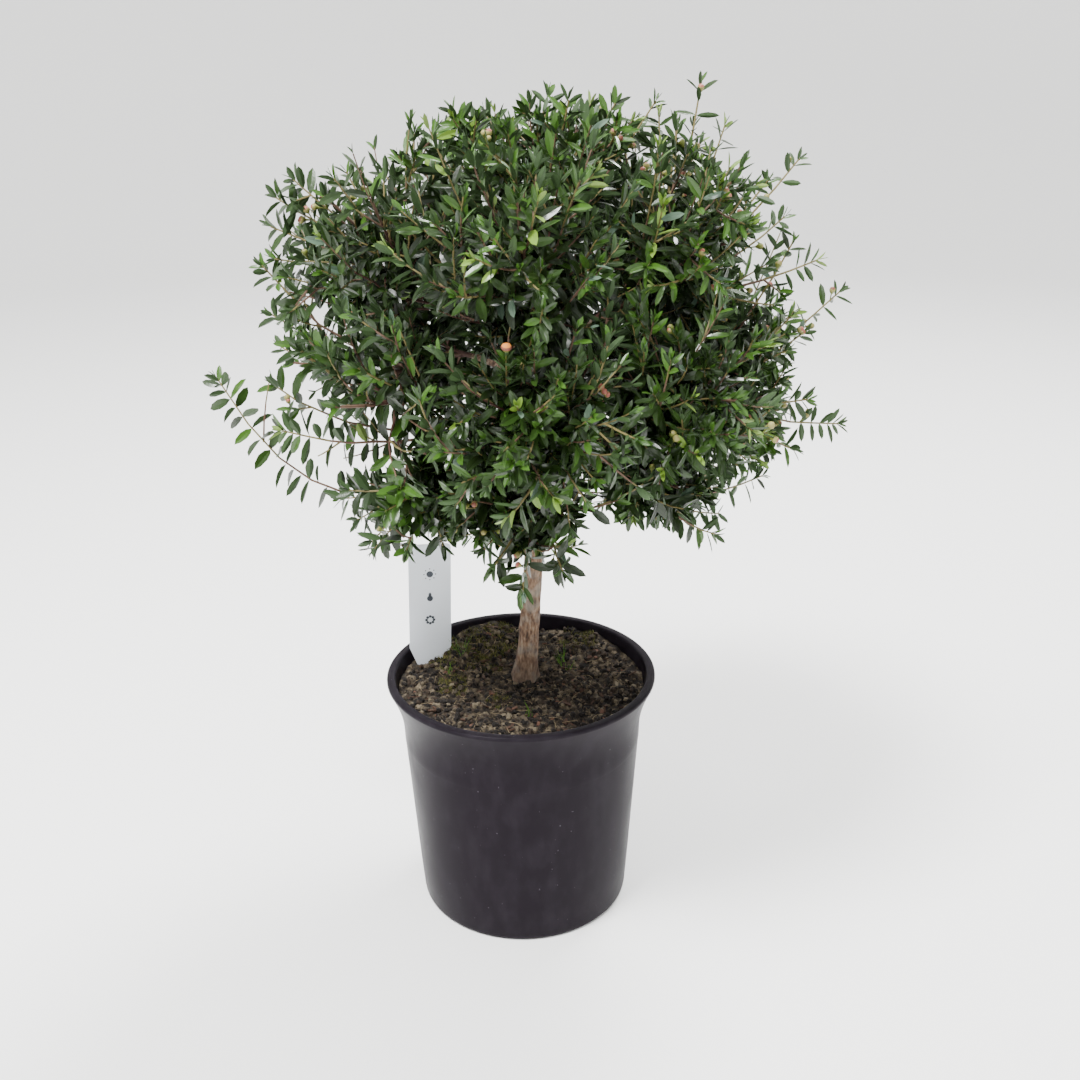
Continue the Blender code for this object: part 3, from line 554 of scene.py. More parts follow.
class Gathering:
    """Copies of small shapes, joined into one mesh."""

    def __init__(self) -> None:
        """Starts empty."""
        self.points: list[np.ndarray] = []
        self.corners: list[np.ndarray] = []
        self.counts: list[np.ndarray] = []
        self.finishes: list[np.ndarray] = []
        self.size = 0

    def add(self, pattern: Pattern, points: np.ndarray, finishes: np.ndarray) -> None:
        """Adds copies of a pattern.

        Args:
            pattern: The shape.
            points: The points of each copy, copies by points by three.
            finishes: The material number of each copy's parts, copies by parts.
        """
        copies, size = points.shape[:2]
        starts = self.size + size * np.arange(copies)[:, None]
        self.points.append(points.reshape(-1, 3))
        self.corners.append((pattern.corners[None, :] + starts).reshape(-1))
        self.counts.append(np.tile(pattern.counts, copies))
        self.finishes.append(finishes[:, pattern.parts].reshape(-1))
        self.size += copies * size

    def mesh(self, name: str, sharp_degrees: float = 35.0) -> Mesh:
        """Joins what was added into a mesh.

        Args:
            name: The mesh's name.
            sharp_degrees: Edges bent by more stay sharp.

        Returns:
            The mesh.
        """
        made = bpy.data.meshes.new(name)
        corners = np.concatenate(self.corners)
        counts = np.concatenate(self.counts)
        made.vertices.add(self.size)
        made.vertices.foreach_set("co", np.concatenate(self.points).astype(np.float32).ravel())
        made.loops.add(len(corners))
        made.loops.foreach_set("vertex_index", corners.astype(np.int32))
        made.polygons.add(len(counts))
        made.polygons.foreach_set("loop_start", (np.cumsum(counts) - counts).astype(np.int32))
        made.polygons.foreach_set("material_index", np.concatenate(self.finishes).astype(np.int32))
        made.update(calc_edges=True)
        made.validate()
        return shaded(made, sharp_degrees)


@dataclass
class Limb:
    """A tapering limb round a bent line that runs from its root to its tip."""

    line: list[Vector]
    root_radius: float
    tip_radius: float

    def at(self, share: float) -> tuple[Vector, Vector]:
        """Finds a place on the limb.

        Args:
            share: How far along it the place is, from root to tip.

        Returns:
            The place, and the limb's direction there.
        """
        spot = min(max(share, 0.0), 1.0) * (len(self.line) - 1)
        run = min(int(spot), len(self.line) - 2)
        lower, upper = self.line[run], self.line[run + 1]
        return lower.lerp(upper, spot - run), (upper - lower).normalized()

    def length(self) -> float:
        """The limb's length along its line."""
        return sum((b - a).length for a, b in zip(self.line, self.line[1:]))

    def radius(self, share: float) -> float:
        """Its radius at a share of its length."""
        return self.root_radius + (self.tip_radius - self.root_radius) * share


class LimbSkin:
    """The skin of limbs that all have the same number of sides and rings."""

    def __init__(self, sides: int, rings: int, young: float = 2.0) -> None:
        """Makes the unit limb, a closed tube whose points know their turn and their share of the length.

        Args:
            sides: The corners of each ring.
            rings: The rings from root to tip.
            young: The share of the length at which part 1, the younger wood, starts.
        """
        shape = tube(sides, rings)
        for face in shape.faces:
            face.material_index = int(face.calc_center_median().z + 0.5 > young)
        self.pattern = Pattern.of(shape)
        self.round = self.pattern.points[:, :2]
        self.share = self.pattern.points[:, 2] + 0.5
        self.shares = np.linspace(0.0, 1.0, rings)
        self.ring = np.rint(self.share * (rings - 1)).astype(int)

    def wrap(self, limb: Limb) -> tuple[np.ndarray, np.ndarray]:
        """Lays the skin round one limb.

        Args:
            limb: The limb.

        Returns:
            The middle of each point's ring, and how far the point lies from it, points by three.
        """
        middles, axes = zip(*(limb.at(share) for share in self.shares))
        side = across(axes[0])[0]
        frames = []
        for axis in axes:
            side = (side - axis * side.dot(axis)).normalized()
            frames.append((side, axis.cross(side)))
        u, v = np.array(frames)[self.ring].transpose(1, 0, 2)
        radii = np.array([limb.radius(share) for share in self.shares])[self.ring, None]
        return np.array(middles)[self.ring], radii * (self.round[:, :1] * u + self.round[:, 1:] * v)

    def cover(self, gathering: Gathering, limb: Limb, *finishes: int) -> None:
        """Adds one limb's skin to a gathering, with the finish of its old and its young wood."""
        middle, out = self.wrap(limb)
        gathering.add(self.pattern, (middle + out)[None], np.array([finishes]))


# ---- Pot, compost and label


@dataclass
class NurseryPot:
    """The turned plastic container. All lengths are metres."""

    height: float = 0.176
    rim_radius: float = 0.095
    base_radius: float = 0.076
    # How far inside that radius, and how high, each point of the rounded heel lies
    heel: Rows = ((0.0036, 0.0), (0.0014, 0.0005), (0.0004, 0.0017), (0.0, 0.004))
    # The straight band under the flare, with the faint ledge at its foot that stacked pots rest on
    collar_radius: float = 0.0846
    collar_bottom: float = 0.128
    collar_full: float = 0.1315
    step: float = 0.0002
    # How far out, and how far under the ledge, each point of its slope lies
    ledge_slope: Rows = ((0.0, 0.0014), (0.0001, 0.0006))
    # The lip's upright band, how far inside the rim and over its foot its lowest points lie, and its
    # rounding
    lip_depth: float = 0.003
    lip_foot: Rows = ((0.0002, 0.0002), (0.0, 0.0007))
    lip_round: float = 0.0014
    # The hollow curve under the lip, how far inside the rim it ends, how hollow it is, and its points
    flare_depth: float = 0.038
    flare_inset: float = 0.0003
    flare_curve: float = 1.9
    flare_points: int = 9
    # Inside: the radius at the lip, the radius and height of the flare's end, and the heights of its points
    mouth_radius: float = 0.0888
    shoulder: Pair = (0.0866, 0.16)
    inner_heights: tuple[float, ...] = (0.17, 0.165, 0.16, 0.154, 0.146, 0.1368, 0.12, 0.07, 0.03)
    wall: float = 0.0018
    floor: float = 0.003
    # The radius of a ring of edges in the floor
    floor_ring: float = 0.03
    drain_holes: int = 6
    drain_radius: float = 0.0055
    drain_circle: float = 0.056
    # The steps of the spin
    turns: int = 176

    def inner_radius(self, height: float) -> float:
        """The radius of the inner wall.

        Args:
            height: The height, from the underside.

        Returns:
            The radius there.
        """
        collar_top = self.height - self.lip_depth - self.flare_depth
        corners = (
            (self.floor, self.base_radius - self.wall),
            (collar_top + self.wall, self.collar_radius - self.step - self.wall),
            (self.shoulder[1], self.shoulder[0]),
            (self.height, self.mouth_radius),
        )
        heights, radii = zip(*corners)
        return float(np.interp(height, heights, radii))

    def section(self) -> list[Pair]:
        """The section's radii and heights, from the middle of the underside to that of the floor."""
        lip_bottom = self.height - self.lip_depth
        collar_top = lip_bottom - self.flare_depth
        ledge = self.collar_radius - 2 * self.step
        foot = [(0.0, 0.0), (self.floor_ring, 0.0)]
        foot += [(self.base_radius - inset, z) for inset, z in self.heel]
        low = [
            (self.base_radius + (ledge - self.base_radius) * share, self.collar_bottom * share)
            for share in (0.25, 0.5, 0.75)
        ]
        low += [(ledge + out, self.collar_bottom - under) for out, under in self.ledge_slope]
        low.append((self.collar_radius - self.step, self.collar_bottom))
        low.append((self.collar_radius - 0.5 * self.step, self.collar_full))
        opening = self.rim_radius - self.flare_inset - self.collar_radius
        flare = []
        for k in range(self.flare_points):
            share = k / (self.flare_points - 1)
            radius = self.collar_radius + opening * share**self.flare_curve
            flare.append((radius, collar_top + self.flare_depth * share))
        lip = [(self.rim_radius - inset, lip_bottom + rise) for inset, rise in self.lip_foot]
        lip += self.edge(self.rim_radius - self.lip_round, 0.0)
        lip += self.edge(self.mouth_radius + self.lip_round, 90.0)
        inside = [(self.inner_radius(z), z) for z in (*self.inner_heights, self.floor)]
        return [*foot, *low, *flare, *lip, *inside, (self.floor_ring, self.floor), (0.0, self.floor)]

    def edge(self, centre: float, first: float) -> list[Pair]:
        """Rounds one of the lip's edges by a quarter turn.

        Args:
            centre: The radius at which the rounding's middle lies.
            first: The angle that it starts from, in degrees.

        Returns:
            Five points, radius and height.
        """
        bend, height = self.lip_round, self.height - self.lip_round
        turns = [math.radians(first + 90.0 * k / 4) for k in range(5)]
        return [(centre + bend * math.cos(t), height + bend * math.sin(t)) for t in turns]

    def build(self) -> None:
        """Spins the section, drains the floor, and dresses the pot."""
        shape = spun(self.section(), self.turns)
        bmesh.ops.recalc_face_normals(shape, faces=shape.faces)
        finished("nursery_pot", self.drained(shape), [POT_PLASTIC], ["pot"])

    def drained(self, shape: BMesh) -> Mesh:
        """Cuts the drainage holes through the floor.

        Args:
            shape: The pot without its holes, which is freed.

        Returns:
            The pot's mesh.
        """
        drills = bmesh.new()
        radius = self.drain_radius
        bore = {"segments": 24, "radius1": radius, "radius2": radius, "depth": 4 * self.floor}
        for k in range(self.drain_holes):
            centre = self.drain_circle * direction(360.0 * (k + 0.5) / self.drain_holes, 0.0)
            bmesh.ops.create_cone(drills, cap_ends=True, matrix=Matrix.Translation(centre), **bore)
        blank = added("blank", mesh_of("blank", shape, None))
        drill = added("drills", mesh_of("drills", drills, None))
        cut = blank.modifiers.new("drain", "BOOLEAN")
        cut.operation = "DIFFERENCE"
        cut.object = drill
        bpy.context.view_layer.update()
        drained = blank.evaluated_get(bpy.context.evaluated_depsgraph_get())
        made = bpy.data.meshes.new_from_object(drained)
        made.name = "nursery_pot"
        for used in (blank, drill):
            bpy.data.objects.remove(used)
        return shaded(made, 40.0)


class Litter(Enum):
    """What lies on the compost, with the name of its piece and the finishes dealt out to it."""

    CRUMBS = ("compost_crumbs", (PEAT_DARK, PEAT_BROWN, PEAT_GREY, PEAT_TAN, PEAT_PALE))
    CHIPS = ("bark_chips", (CHIP_BROWN, PEAT_TAN, CHIP_RED, PEAT_PALE))
    FIBRES = ("compost_fibres", (FIBRE_TAN, PEAT_BROWN, PEAT_TAN))
    MOSS = ("moss_tufts", (MOSS_OLIVE, MOSS_PALE, MOSS_DARK))
    GRASS = ("grass_seedlings", (GRASS_GREEN,))


@dataclass
class Compost:
    """The filling of the pot, mounded here and there, with crumbs, chips, fibres, moss and seedlings."""

    pot: NurseryPot
    foot: Vector
    # Its height at the wall and at the trunk, and how far under the lip its highest mound stays
    level: float = 0.166
    at_trunk: float = 0.162
    below_lip: float = 0.0035
    # The radius of the level ground at the trunk, and how near to its axis litter and moss may lie
    foot_patch: float = 0.0145
    trunk_clear: float = 0.0115
    moss_clear: float = 0.01
    # The play between filling and pot, the heights of its side's points, its top's rings, its spin's steps
    gap: float = 0.0003
    sides: tuple[float, ...] = (0.06, 0.1368, 0.15)
    rings: int = 62
    turns: int = 220
    # Each kind of lump's size in metres and height in millimetres, then how much lower they are along the
    # wall and how far in they grow to full height
    lumps: Rows = ((0.013, 4.2), (0.0055, 2.8), (0.0022, 0.9))
    settled: Pair = (0.6, 0.006)
    # How much there is of each litter, and how much rarer each further finish of it is than the first
    crumbs: int = 3000
    chips: int = 260
    fibres: int = 340
    tufts: int = 5600
    rarer: float = 1.35
    # Azimuth, distance from the axis, height and radius
    mounds: Rows = (
        (199.0, 0.079, 0.0085, 0.021), (140.0, 0.074, 0.006, 0.02),
        (262.0, 0.05, 0.0035, 0.015), (338.0, 0.05, 0.002, 0.02),
        (233.0, 0.058, 0.01, 0.015),
    )
    # Azimuth, distance from the axis and radius
    mossy: Rows = (
        (203.0, 0.072, 0.028), (143.0, 0.074, 0.016), (236.0, 0.06, 0.019),
        (218.0, 0.042, 0.014), (272.0, 0.048, 0.014), (330.0, 0.03, 0.01),
    )
    # Where tufts of seedlings grow: x, y, blades and height; then their spread and a blade's radius
    sprouts: Rows = (
        (-0.044, 0.03, 9, 0.016), (0.03, 0.03, 10, 0.017), (0.003, -0.044, 7, 0.012),
        (-0.05, 0.012, 6, 0.012), (0.036, 0.02, 6, 0.011),
    )
    sprout_spread: float = 0.0022
    blade: float = 0.00038
    # So that every run lays the same litter
    seed: int = 23

    def __post_init__(self) -> None:
        """Starts the random numbers."""
        self.rng = random.Random(self.seed)

    def edge(self, height: float) -> float:
        """The compost's radius where it lies against the wall."""
        return self.pot.inner_radius(height) - self.gap

    def from_foot(self, x: float, y: float) -> float:
        """How far a place lies from the trunk's axis."""
        return math.hypot(x - self.foot.x, y - self.foot.y)

    def height(self, x: float, y: float) -> float:
        """The smooth surface's height.

        Args:
            x: The place's distance to the right.
            y: Its distance to the back.

        Returns:
            The height there.
        """
        to_wall = min(1.0, math.hypot(x, y) / self.pot.inner_radius(self.level))
        height = self.at_trunk + (self.level - self.at_trunk) * to_wall**2
        for azimuth, distance, tall, wide in self.mounds:
            top = distance * direction(azimuth, 0.0)
            height += tall * math.exp(-((x - top.x) ** 2 + (y - top.y) ** 2) / wide**2)
        level = max(0.0, min(1.0, (self.from_foot(x, y) - self.foot_patch) / self.foot_patch))
        return self.at_trunk + (min(height, self.pot.height - self.below_lip) - self.at_trunk) * level

    def surface(self, x: float, y: float, above: float = 0.0) -> Vector:
        """Finds a place on the lumpy surface.

        Args:
            x: Its distance to the right.
            y: Its distance to the back.
            above: How far over the surface it lies.

        Returns:
            The place.
        """
        spot = Vector((x, y, 0.0))
        lumps = sum(tall * noise.noise(spot / size) for size, tall in self.lumps)
        flattened, fade = self.settled
        near_wall = min(1.0, max(0.0, (self.edge(self.level) - math.hypot(x, y)) / fade))
        near_foot = min(1.0, self.from_foot(x, y) / self.foot_patch)
        share = (1.0 - flattened) + flattened * near_wall
        spot.z = self.height(x, y) + lumps * MM * share * near_foot + above
        return spot

    def build(self) -> None:
        """Builds the filling and everything that lies or grows on it."""
        self.build_filling()
        self.build_crumbs()
        self.build_chips()
        self.build_fibres()
        self.build_moss()
        self.build_seedlings()

    def build_filling(self) -> None:
        """Builds the closed plug that fills the pot, its top drawn into lumps."""
        top, bottom, play = self.edge(self.level), self.pot.floor + self.gap, 0.0002
        section = [(0.0, bottom), (self.edge(self.pot.floor) - play, bottom)]
        section += [(self.edge(z) - play, z) for z in self.sides]
        section += [(top * (1.0 - k / self.rings), self.level) for k in range(self.rings + 1)]
        shape = spun(section, self.turns)
        for vert in shape.verts:
            if vert.co.z > self.level - 1e-5:
                vert.co = self.surface(vert.co.x, vert.co.y)
                out = math.hypot(vert.co.x, vert.co.y)
                if out > top - 1e-5:
                    vert.co.xy *= self.edge(vert.co.z) / out
        bmesh.ops.recalc_face_normals(shape, faces=shape.faces)
        finished("compost_filling", mesh_of("compost_filling", shape, 60.0), [PEAT], ["soil"])

    def spot(self, margin: float) -> Vector:
        """Finds a random place on the surface, clear of the trunk.

        Args:
            margin: How near to the wall it may lie.

        Returns:
            The place.
        """
        while True:
            radius = (self.edge(self.level) - margin) * math.sqrt(self.rng.random())
            turn = self.rng.uniform(0, math.tau)
            x, y = radius * math.cos(turn), radius * math.sin(turn)
            if self.from_foot(x, y) > self.trunk_clear:
                return self.surface(x, y)

    def turned(self, spot: Vector, size: Size, tip: float) -> Matrix:
        """A place for a copy of a shape.

        Args:
            spot: Where it lies.
            size: Its size along its own axes.
            tip: How far it may be tipped, in degrees, once it is spun at random.

        Returns:
            The place.
        """
        spin = Matrix.Rotation(self.rng.uniform(0, math.tau), 4, "Z")
        lean = Matrix.Rotation(math.radians(self.rng.uniform(-tip, tip)), 4, "X")
        roll = Matrix.Rotation(math.radians(self.rng.uniform(-tip, tip)), 4, "Y")
        return Matrix.Translation(spot) @ spin @ lean @ roll @ Matrix.Diagonal((*size, 1.0))

    def scatter(self, kind: Litter, shape: BMesh, places: list[Matrix]) -> None:
        """Joins copies of a shape into one piece, with the kind's finishes dealt out.

        Args:
            kind: What the piece is.
            shape: The shape, which is freed.
            places: Where its copies lie.
        """
        name, finishes = kind.value
        shares = [1.0 / (1 + k) ** self.rarer for k in range(len(finishes))]
        dealt = np.array([[self.rng.choices(range(len(finishes)), shares)[0]] for _ in places])
        pattern = Pattern.of(shape)
        gathering = Gathering()
        gathering.add(pattern, pattern.copies(places), dealt)
        finished(name, gathering.mesh(name, 30.0), finishes)

    def build_crumbs(self) -> None:
        """Strews rough crumbs, most of them small and half sunk."""
        rng = self.rng
        shape = bmesh.new()
        bmesh.ops.create_icosphere(shape, subdivisions=1, radius=1.0)
        for vert in shape.verts:
            vert.co *= rng.uniform(0.62, 1.15)
        places = []
        for _ in range(self.crumbs):
            size = MM * (0.8 + 2.4 * rng.random() ** 2.5)
            spot = self.spot(3 * MM) + UP * size * 0.25
            sizes = (size, size * rng.uniform(0.6, 1), size * rng.uniform(0.5, 0.9))
            places.append(self.turned(spot, sizes, 90))
        self.scatter(Litter.CRUMBS, shape, places)

    def build_chips(self) -> None:
        """Strews flat chips of composted bark."""
        rng = self.rng
        shape = bmesh.new()
        bmesh.ops.create_cube(shape, size=1.0)
        long_edges = [e for e in shape.edges if abs(e.verts[0].co.x - e.verts[1].co.x) > 0.5]
        bmesh.ops.subdivide_edges(shape, edges=long_edges, cuts=2, use_grid_fill=True)
        for vert in shape.verts:
            vert.co.z += 0.5 * (0.25 - vert.co.x**2)
            vert.co.y *= rng.uniform(0.6, 1.1) * (1.0 - 0.8 * vert.co.x**2)
        places = []
        for _ in range(self.chips):
            length = MM * rng.uniform(2.5, 7.0)
            spot = self.spot(6 * MM) + UP * 0.6 * MM
            sizes = (length, length * rng.uniform(0.3, 0.6), MM * rng.uniform(0.5, 1.1))
            places.append(self.turned(spot, sizes, 24))
        self.scatter(Litter.CHIPS, shape, places)

    def build_fibres(self) -> None:
        """Strews thin crooked fibres and rootlets."""
        rng = self.rng
        name, finishes = Litter.FIBRES.value
        skin, gathering = LimbSkin(4, 6), Gathering()
        for _ in range(self.fibres):
            spot = self.spot(12 * MM) + UP * 0.9 * MM
            run = direction(rng.uniform(0, 360), rng.uniform(-8, 14)) * MM * rng.uniform(4, 13)
            bow = Vector((rng.uniform(-1, 1), rng.uniform(-1, 1), rng.uniform(0, 0.8))) * 0.35 * run.length
            line = bent(spot - run / 2, spot + bow, spot + run / 2, 6)
            limb = Limb(line, MM * rng.uniform(0.18, 0.38), MM * 0.12)
            skin.cover(gathering, limb, rng.randrange(len(finishes)))
        finished(name, gathering.mesh(name), finishes)

    def blade_shape(self) -> BMesh:
        """A narrow blade of moss or grass, one unit tall, bent towards +Y and closed all round."""
        shape = tube(3, 4, 0.12)
        for vert in shape.verts:
            vert.co.z += 0.5
            vert.co.y = 0.5 * vert.co.y + 3.0 * vert.co.z**2
        return shape

    def build_moss(self) -> None:
        """Grows short crowded moss on the older, damper parts, in broken patches."""
        rng = self.rng
        places = []
        shares = [wide * wide for _, _, wide in self.mossy]
        for _ in range(self.tufts):
            azimuth, distance, wide = rng.choices(self.mossy, shares)[0]
            spot = distance * direction(azimuth, 0.0)
            turn, out = rng.uniform(0, math.tau), wide * math.sqrt(rng.random())
            x, y = spot.x + out * math.cos(turn), spot.y + out * math.sin(turn)
            outside = math.hypot(x, y) > self.edge(self.level) - 3 * MM
            broken = noise.noise(Vector((x, y, 3.0)) / (8 * MM)) < -0.1
            if outside or broken or self.from_foot(x, y) < self.moss_clear:
                continue
            tall = MM * rng.uniform(1.8, 4.2)
            thin = MM * rng.uniform(0.3, 0.55)
            places.append(self.turned(self.surface(x, y, -0.3 * MM), (thin, thin, tall), 42))
        self.scatter(Litter.MOSS, self.blade_shape(), places)

    def build_seedlings(self) -> None:
        """Grows a few tufts of fine grass seedlings."""
        rng = self.rng
        places = []
        for x, y, blades, tall in self.sprouts:
            for _ in range(blades):
                spot = Vector((x + rng.gauss(0, self.sprout_spread), y + rng.gauss(0, self.sprout_spread)))
                size = (self.blade, self.blade, tall * rng.uniform(0.5, 1.0))
                places.append(self.turned(self.surface(*spot, -0.5 * MM), size, 34))
        self.scatter(Litter.GRASS, self.blade_shape(), places)


@dataclass
class PlantLabel:
    """The moulded tag at the back left, with a few plain care marks."""

    width: float = 0.0305
    length: float = 0.115
    # The height at which the point starts, and half its flat end
    point: float = 0.034
    tip: float = 0.0015
    thickness: float = 0.001
    corner: float = 0.003
    # Where its point stands, and how far it is turned from the front and leans to the right, in degrees
    place: Vector = field(default_factory=lambda: Vector((-0.0675, 0.033, 0.1445)))
    turn: float = 10.0
    lean: float = 2.0
    # The size of a care mark, the ink's thickness, and how far its middle stands off the tag
    mark: float = 0.0088
    ink: float = 0.0001
    proud: float = 0.00006
    # The sun's rays and the ring of petals: height, distance and size as shares of half a mark
    rays: Rows = ((0.092, 0.95, 0.1), (0.056, 0.62, 0.24))
    # The single discs: height, size, corners and upright stretch
    discs: Rows = (
        (0.092, 0.55, 20, 1.0), (0.073, 0.5, 20, 1.0), (0.0752, 0.26, 12, 2.2),
    )

    def seat(self) -> Matrix:
        """Where the tag stands."""
        turn = Matrix.Rotation(math.radians(self.turn), 4, "Z")
        return Matrix.Translation(self.place) @ turn @ Matrix.Rotation(math.radians(self.lean), 4, "Y")

    def build(self) -> None:
        """Builds the tag and its marks."""
        half = self.width / 2
        outline = [(self.tip, 0.0), (half, self.point), (half, self.length)]
        outline += [(-x, z) for x, z in reversed(outline)]
        shape = bmesh.new()
        face = shape.faces.new([shape.verts.new((x, -self.thickness / 2, z)) for x, z in outline])
        pushed = bmesh.ops.extrude_face_region(shape, geom=[face])
        moved = [v for v in pushed["geom"] if isinstance(v, bmesh.types.BMVert)]
        bmesh.ops.translate(shape, verts=moved, vec=(0, self.thickness, 0))
        on_top = [e for e in shape.edges if all(v.co.z > self.length - 1e-5 for v in e.verts)]
        corners = [e for e in on_top if abs(e.verts[0].co.y - e.verts[1].co.y) > 1e-5]
        rounding = {"affect": "EDGES", "segments": 5, "profile": 0.5, "material": -1}
        bmesh.ops.bevel(shape, geom=corners, offset=self.corner, **rounding)
        self.seated("label_tag", shape, LABEL_WHITE, ["plant_label"])
        self.build_marks()

    def seated(self, name: str, shape: BMesh, finish: Finish, nodes: Sequence[str] = ()) -> None:
        """Sets a shape drawn on the upright tag where the tag stands, and dresses it.

        Args:
            name: The piece's name.
            shape: Its shape, which is freed.
            finish: Its finish.
            nodes: The solids that it stands for.
        """
        bmesh.ops.recalc_face_normals(shape, faces=shape.faces)
        bmesh.ops.transform(shape, matrix=self.seat(), verts=shape.verts)
        finished(name, mesh_of(name, shape), [finish], nodes)

    def build_marks(self) -> None:
        """Builds the care marks, a sun, a drop and a ring of petals, in one column."""
        shape = bmesh.new()
        front = -self.thickness / 2 - self.proud
        size = self.mark / 2
        dots = []
        for height, reach, radius in self.rays:
            for k in range(8):
                turn = math.tau * k / 8
                x, z = size * reach * math.cos(turn), height + size * reach * math.sin(turn)
                dots.append((x, z, radius, 10, 1.0))
        dots += [(0.0, *disc) for disc in self.discs]
        for x, z, radius, corners, tall in dots:
            place = Matrix.Translation((x, front, z)) @ Matrix.Rotation(math.radians(90), 4, "X")
            disc = {"segments": corners, "radius1": size * radius, "radius2": size * radius}
            stretch = Matrix.Diagonal((1.0, tall, 1.0, 1.0))
            bmesh.ops.create_cone(shape, cap_ends=True, depth=self.ink, matrix=place @ stretch, **disc)
        self.seated("label_care_marks", shape, LABEL_INK)


# ---- Trunk and boughs


@dataclass
class Stem:
    """The trunk and its boughs, with the relief of their bark."""

    # Where the trunk stands, the place that all growth is measured from, and how far from it boughs end
    foot: Vector = field(default_factory=lambda: Vector((0.0028, 0.014, 0.1623)))
    hub: Vector = field(default_factory=lambda: Vector((0.0115, 0.004, 0.388)))
    bare_radius: float = 0.056
    # The trunk's radii over its root flare and at its tip, how much its foot widens, how soon that fades,
    # how near the tip the taper comes, and its bow to the right
    foot_radius: float = 0.0074
    tip_radius: float = 0.003
    flare: float = 0.003
    flare_height: float = 0.011
    taper: float = 1.3
    bow: float = 0.0036
    # The ridges that run down into the roots: how many, how far they stand out, and their turn in radians
    roots: float = 5.0
    root_ridge: float = 0.001
    root_turn: float = 0.8
    # The bark's flakes, ridges and grain: width round the limb, length along it, where the pattern starts,
    # and height in millimetres
    bark_layers: Rows = (
        (0.0026, 0.009, 0.0, 0.3), (0.0052, 0.03, 7.0, 0.42), (0.0011, 0.004, 19.0, 0.14)
    )
    # The scars of shed side shoots, each with its height and its turn in radians; half their height and
    # width; how far they stand out and how far their middle is sunk
    scars: Rows = (
        (0.186, 0.6), (0.203, 3.4), (0.221, 5.4), (0.238, 1.7),
        (0.256, 4.3), (0.275, 0.2), (0.297, 2.6),
    )
    scar_size: Pair = (0.003, 0.42)
    scar_depth: Pair = (0.0007, 0.0004)
    # A bough's radii at its root and tip, where its two straight aims meet as a share from its tip, how far
    # out in the trunk it starts as a share, and how far it runs into its mass
    bough_radius: float = 0.0024
    bough_tip: float = 0.0018
    bough_bend: float = 0.45
    bough_seat: float = 0.4
    into_mass: float = 0.0006
    # How swollen a bough's root is and over what share of its length, then its bark's roughness and lumps
    collar: Pair = (0.55, 0.1)
    bough_rough: Pair = (0.1, 0.0025)

    def rise(self) -> Vector:
        """The direction that the trunk's tip points in."""
        return (self.hub - self.foot).normalized()

    def point(self, height: float) -> Vector:
        """The place on the trunk's axis at a height."""
        share = (height - self.foot.z) / (self.hub.z - self.foot.z)
        bow = self.bow * 4 * share * (1.0 - share) if share < 1.0 else 0.0
        return self.foot + (self.hub - self.foot) * share + Vector((bow, 0.0, 0.0))

    def lowness(self, height: float) -> float:
        """How much of the root flare is left at a height, one at the foot."""
        return math.exp(-(height - self.foot.z) / self.flare_height)

    def radius(self, height: float) -> float:
        """The trunk's radius at a height, without its bark's relief."""
        share = (height - self.foot.z) / (self.hub.z + self.bare_radius - self.foot.z)
        taper = self.foot_radius + (self.tip_radius - self.foot_radius) * max(share, 0.0) ** self.taper
        return taper + self.flare * self.lowness(height)

    def bark_relief(self, turn: float, along: float, radius: float) -> float:
        """How far the bark stands out.

        Args:
            turn: The place's turn round the limb, in radians.
            along: How far along the limb it lies.
            radius: The limb's radius there.

        Returns:
            The relief, in metres.
        """
        around = Vector((math.cos(turn), math.sin(turn), 0.0)) * radius
        relief = 0.0
        for wide, tall, start, raised in self.bark_layers:
            relief += raised * noise.noise(Vector((around.x / wide, around.y / wide, along / tall + start)))
        return relief * MM

    def scar_relief(self, turn: float, height: float) -> float:
        """How far the scars of shed side shoots stand out.

        Args:
            turn: The place's turn round the trunk, in radians.
            height: Its height.

        Returns:
            The relief, in metres.
        """
        (tall, wide), (raised, sunk), relief = self.scar_size, self.scar_depth, 0.0
        for scar_height, scar_turn in self.scars:
            between = abs((turn - scar_turn + math.pi) % math.tau - math.pi)
            apart = math.hypot((height - scar_height) / tall, between / wide)
            relief += raised * math.exp(-(apart**2)) - sunk * math.exp(-((apart / 0.4) ** 2))
        return relief

    def build_trunk(self) -> None:
        """Builds the trunk with its root flare, ridges, flakes and the scars of shed side shoots."""
        tip = self.hub + self.bare_radius * self.rise()
        shape = tube(56, 192)
        for vert in shape.verts:
            height = self.foot.z + (tip.z - self.foot.z) * (vert.co.z + 0.5)
            turn = math.atan2(vert.co.y, vert.co.x)
            ridge = self.lowness(height) * self.root_ridge * math.sin(self.roots * turn + self.root_turn)
            radius = self.radius(height) + ridge + self.scar_relief(turn, height)
            radius += self.bark_relief(turn, height, radius)
            way = Vector((math.cos(turn), math.sin(turn), 0.0))
            on_axis = vert.co.xy.length < 0.5
            vert.co = self.point(height) + (Vector() if on_axis else way * radius)
        bmesh.ops.recalc_face_normals(shape, faces=shape.faces)
        finished("trunk_bark", mesh_of("trunk_bark", shape, 50.0), [BARK], ["trunk"])

    def bough(self, toward: Vector, root_height: float) -> Limb:
        """One bough, from inside the trunk's side to its mass.

        Args:
            toward: Its mass's direction from the hub.
            root_height: Where it leaves the trunk.

        Returns:
            The bough.
        """
        tip = self.hub + toward * self.bare_radius
        axis = self.point(root_height)
        lean = (self.point(root_height + self.bough_radius) - axis).normalized()
        out = tip - axis
        out = (out - lean * out.dot(lean)).normalized()
        seat = axis + out * self.radius(root_height) * self.bough_seat
        control = tip - toward * self.bough_bend * (tip - seat).length
        line = bent(seat, control, tip + toward * self.into_mass, 12)
        return Limb(line, self.bough_radius, self.bough_tip)

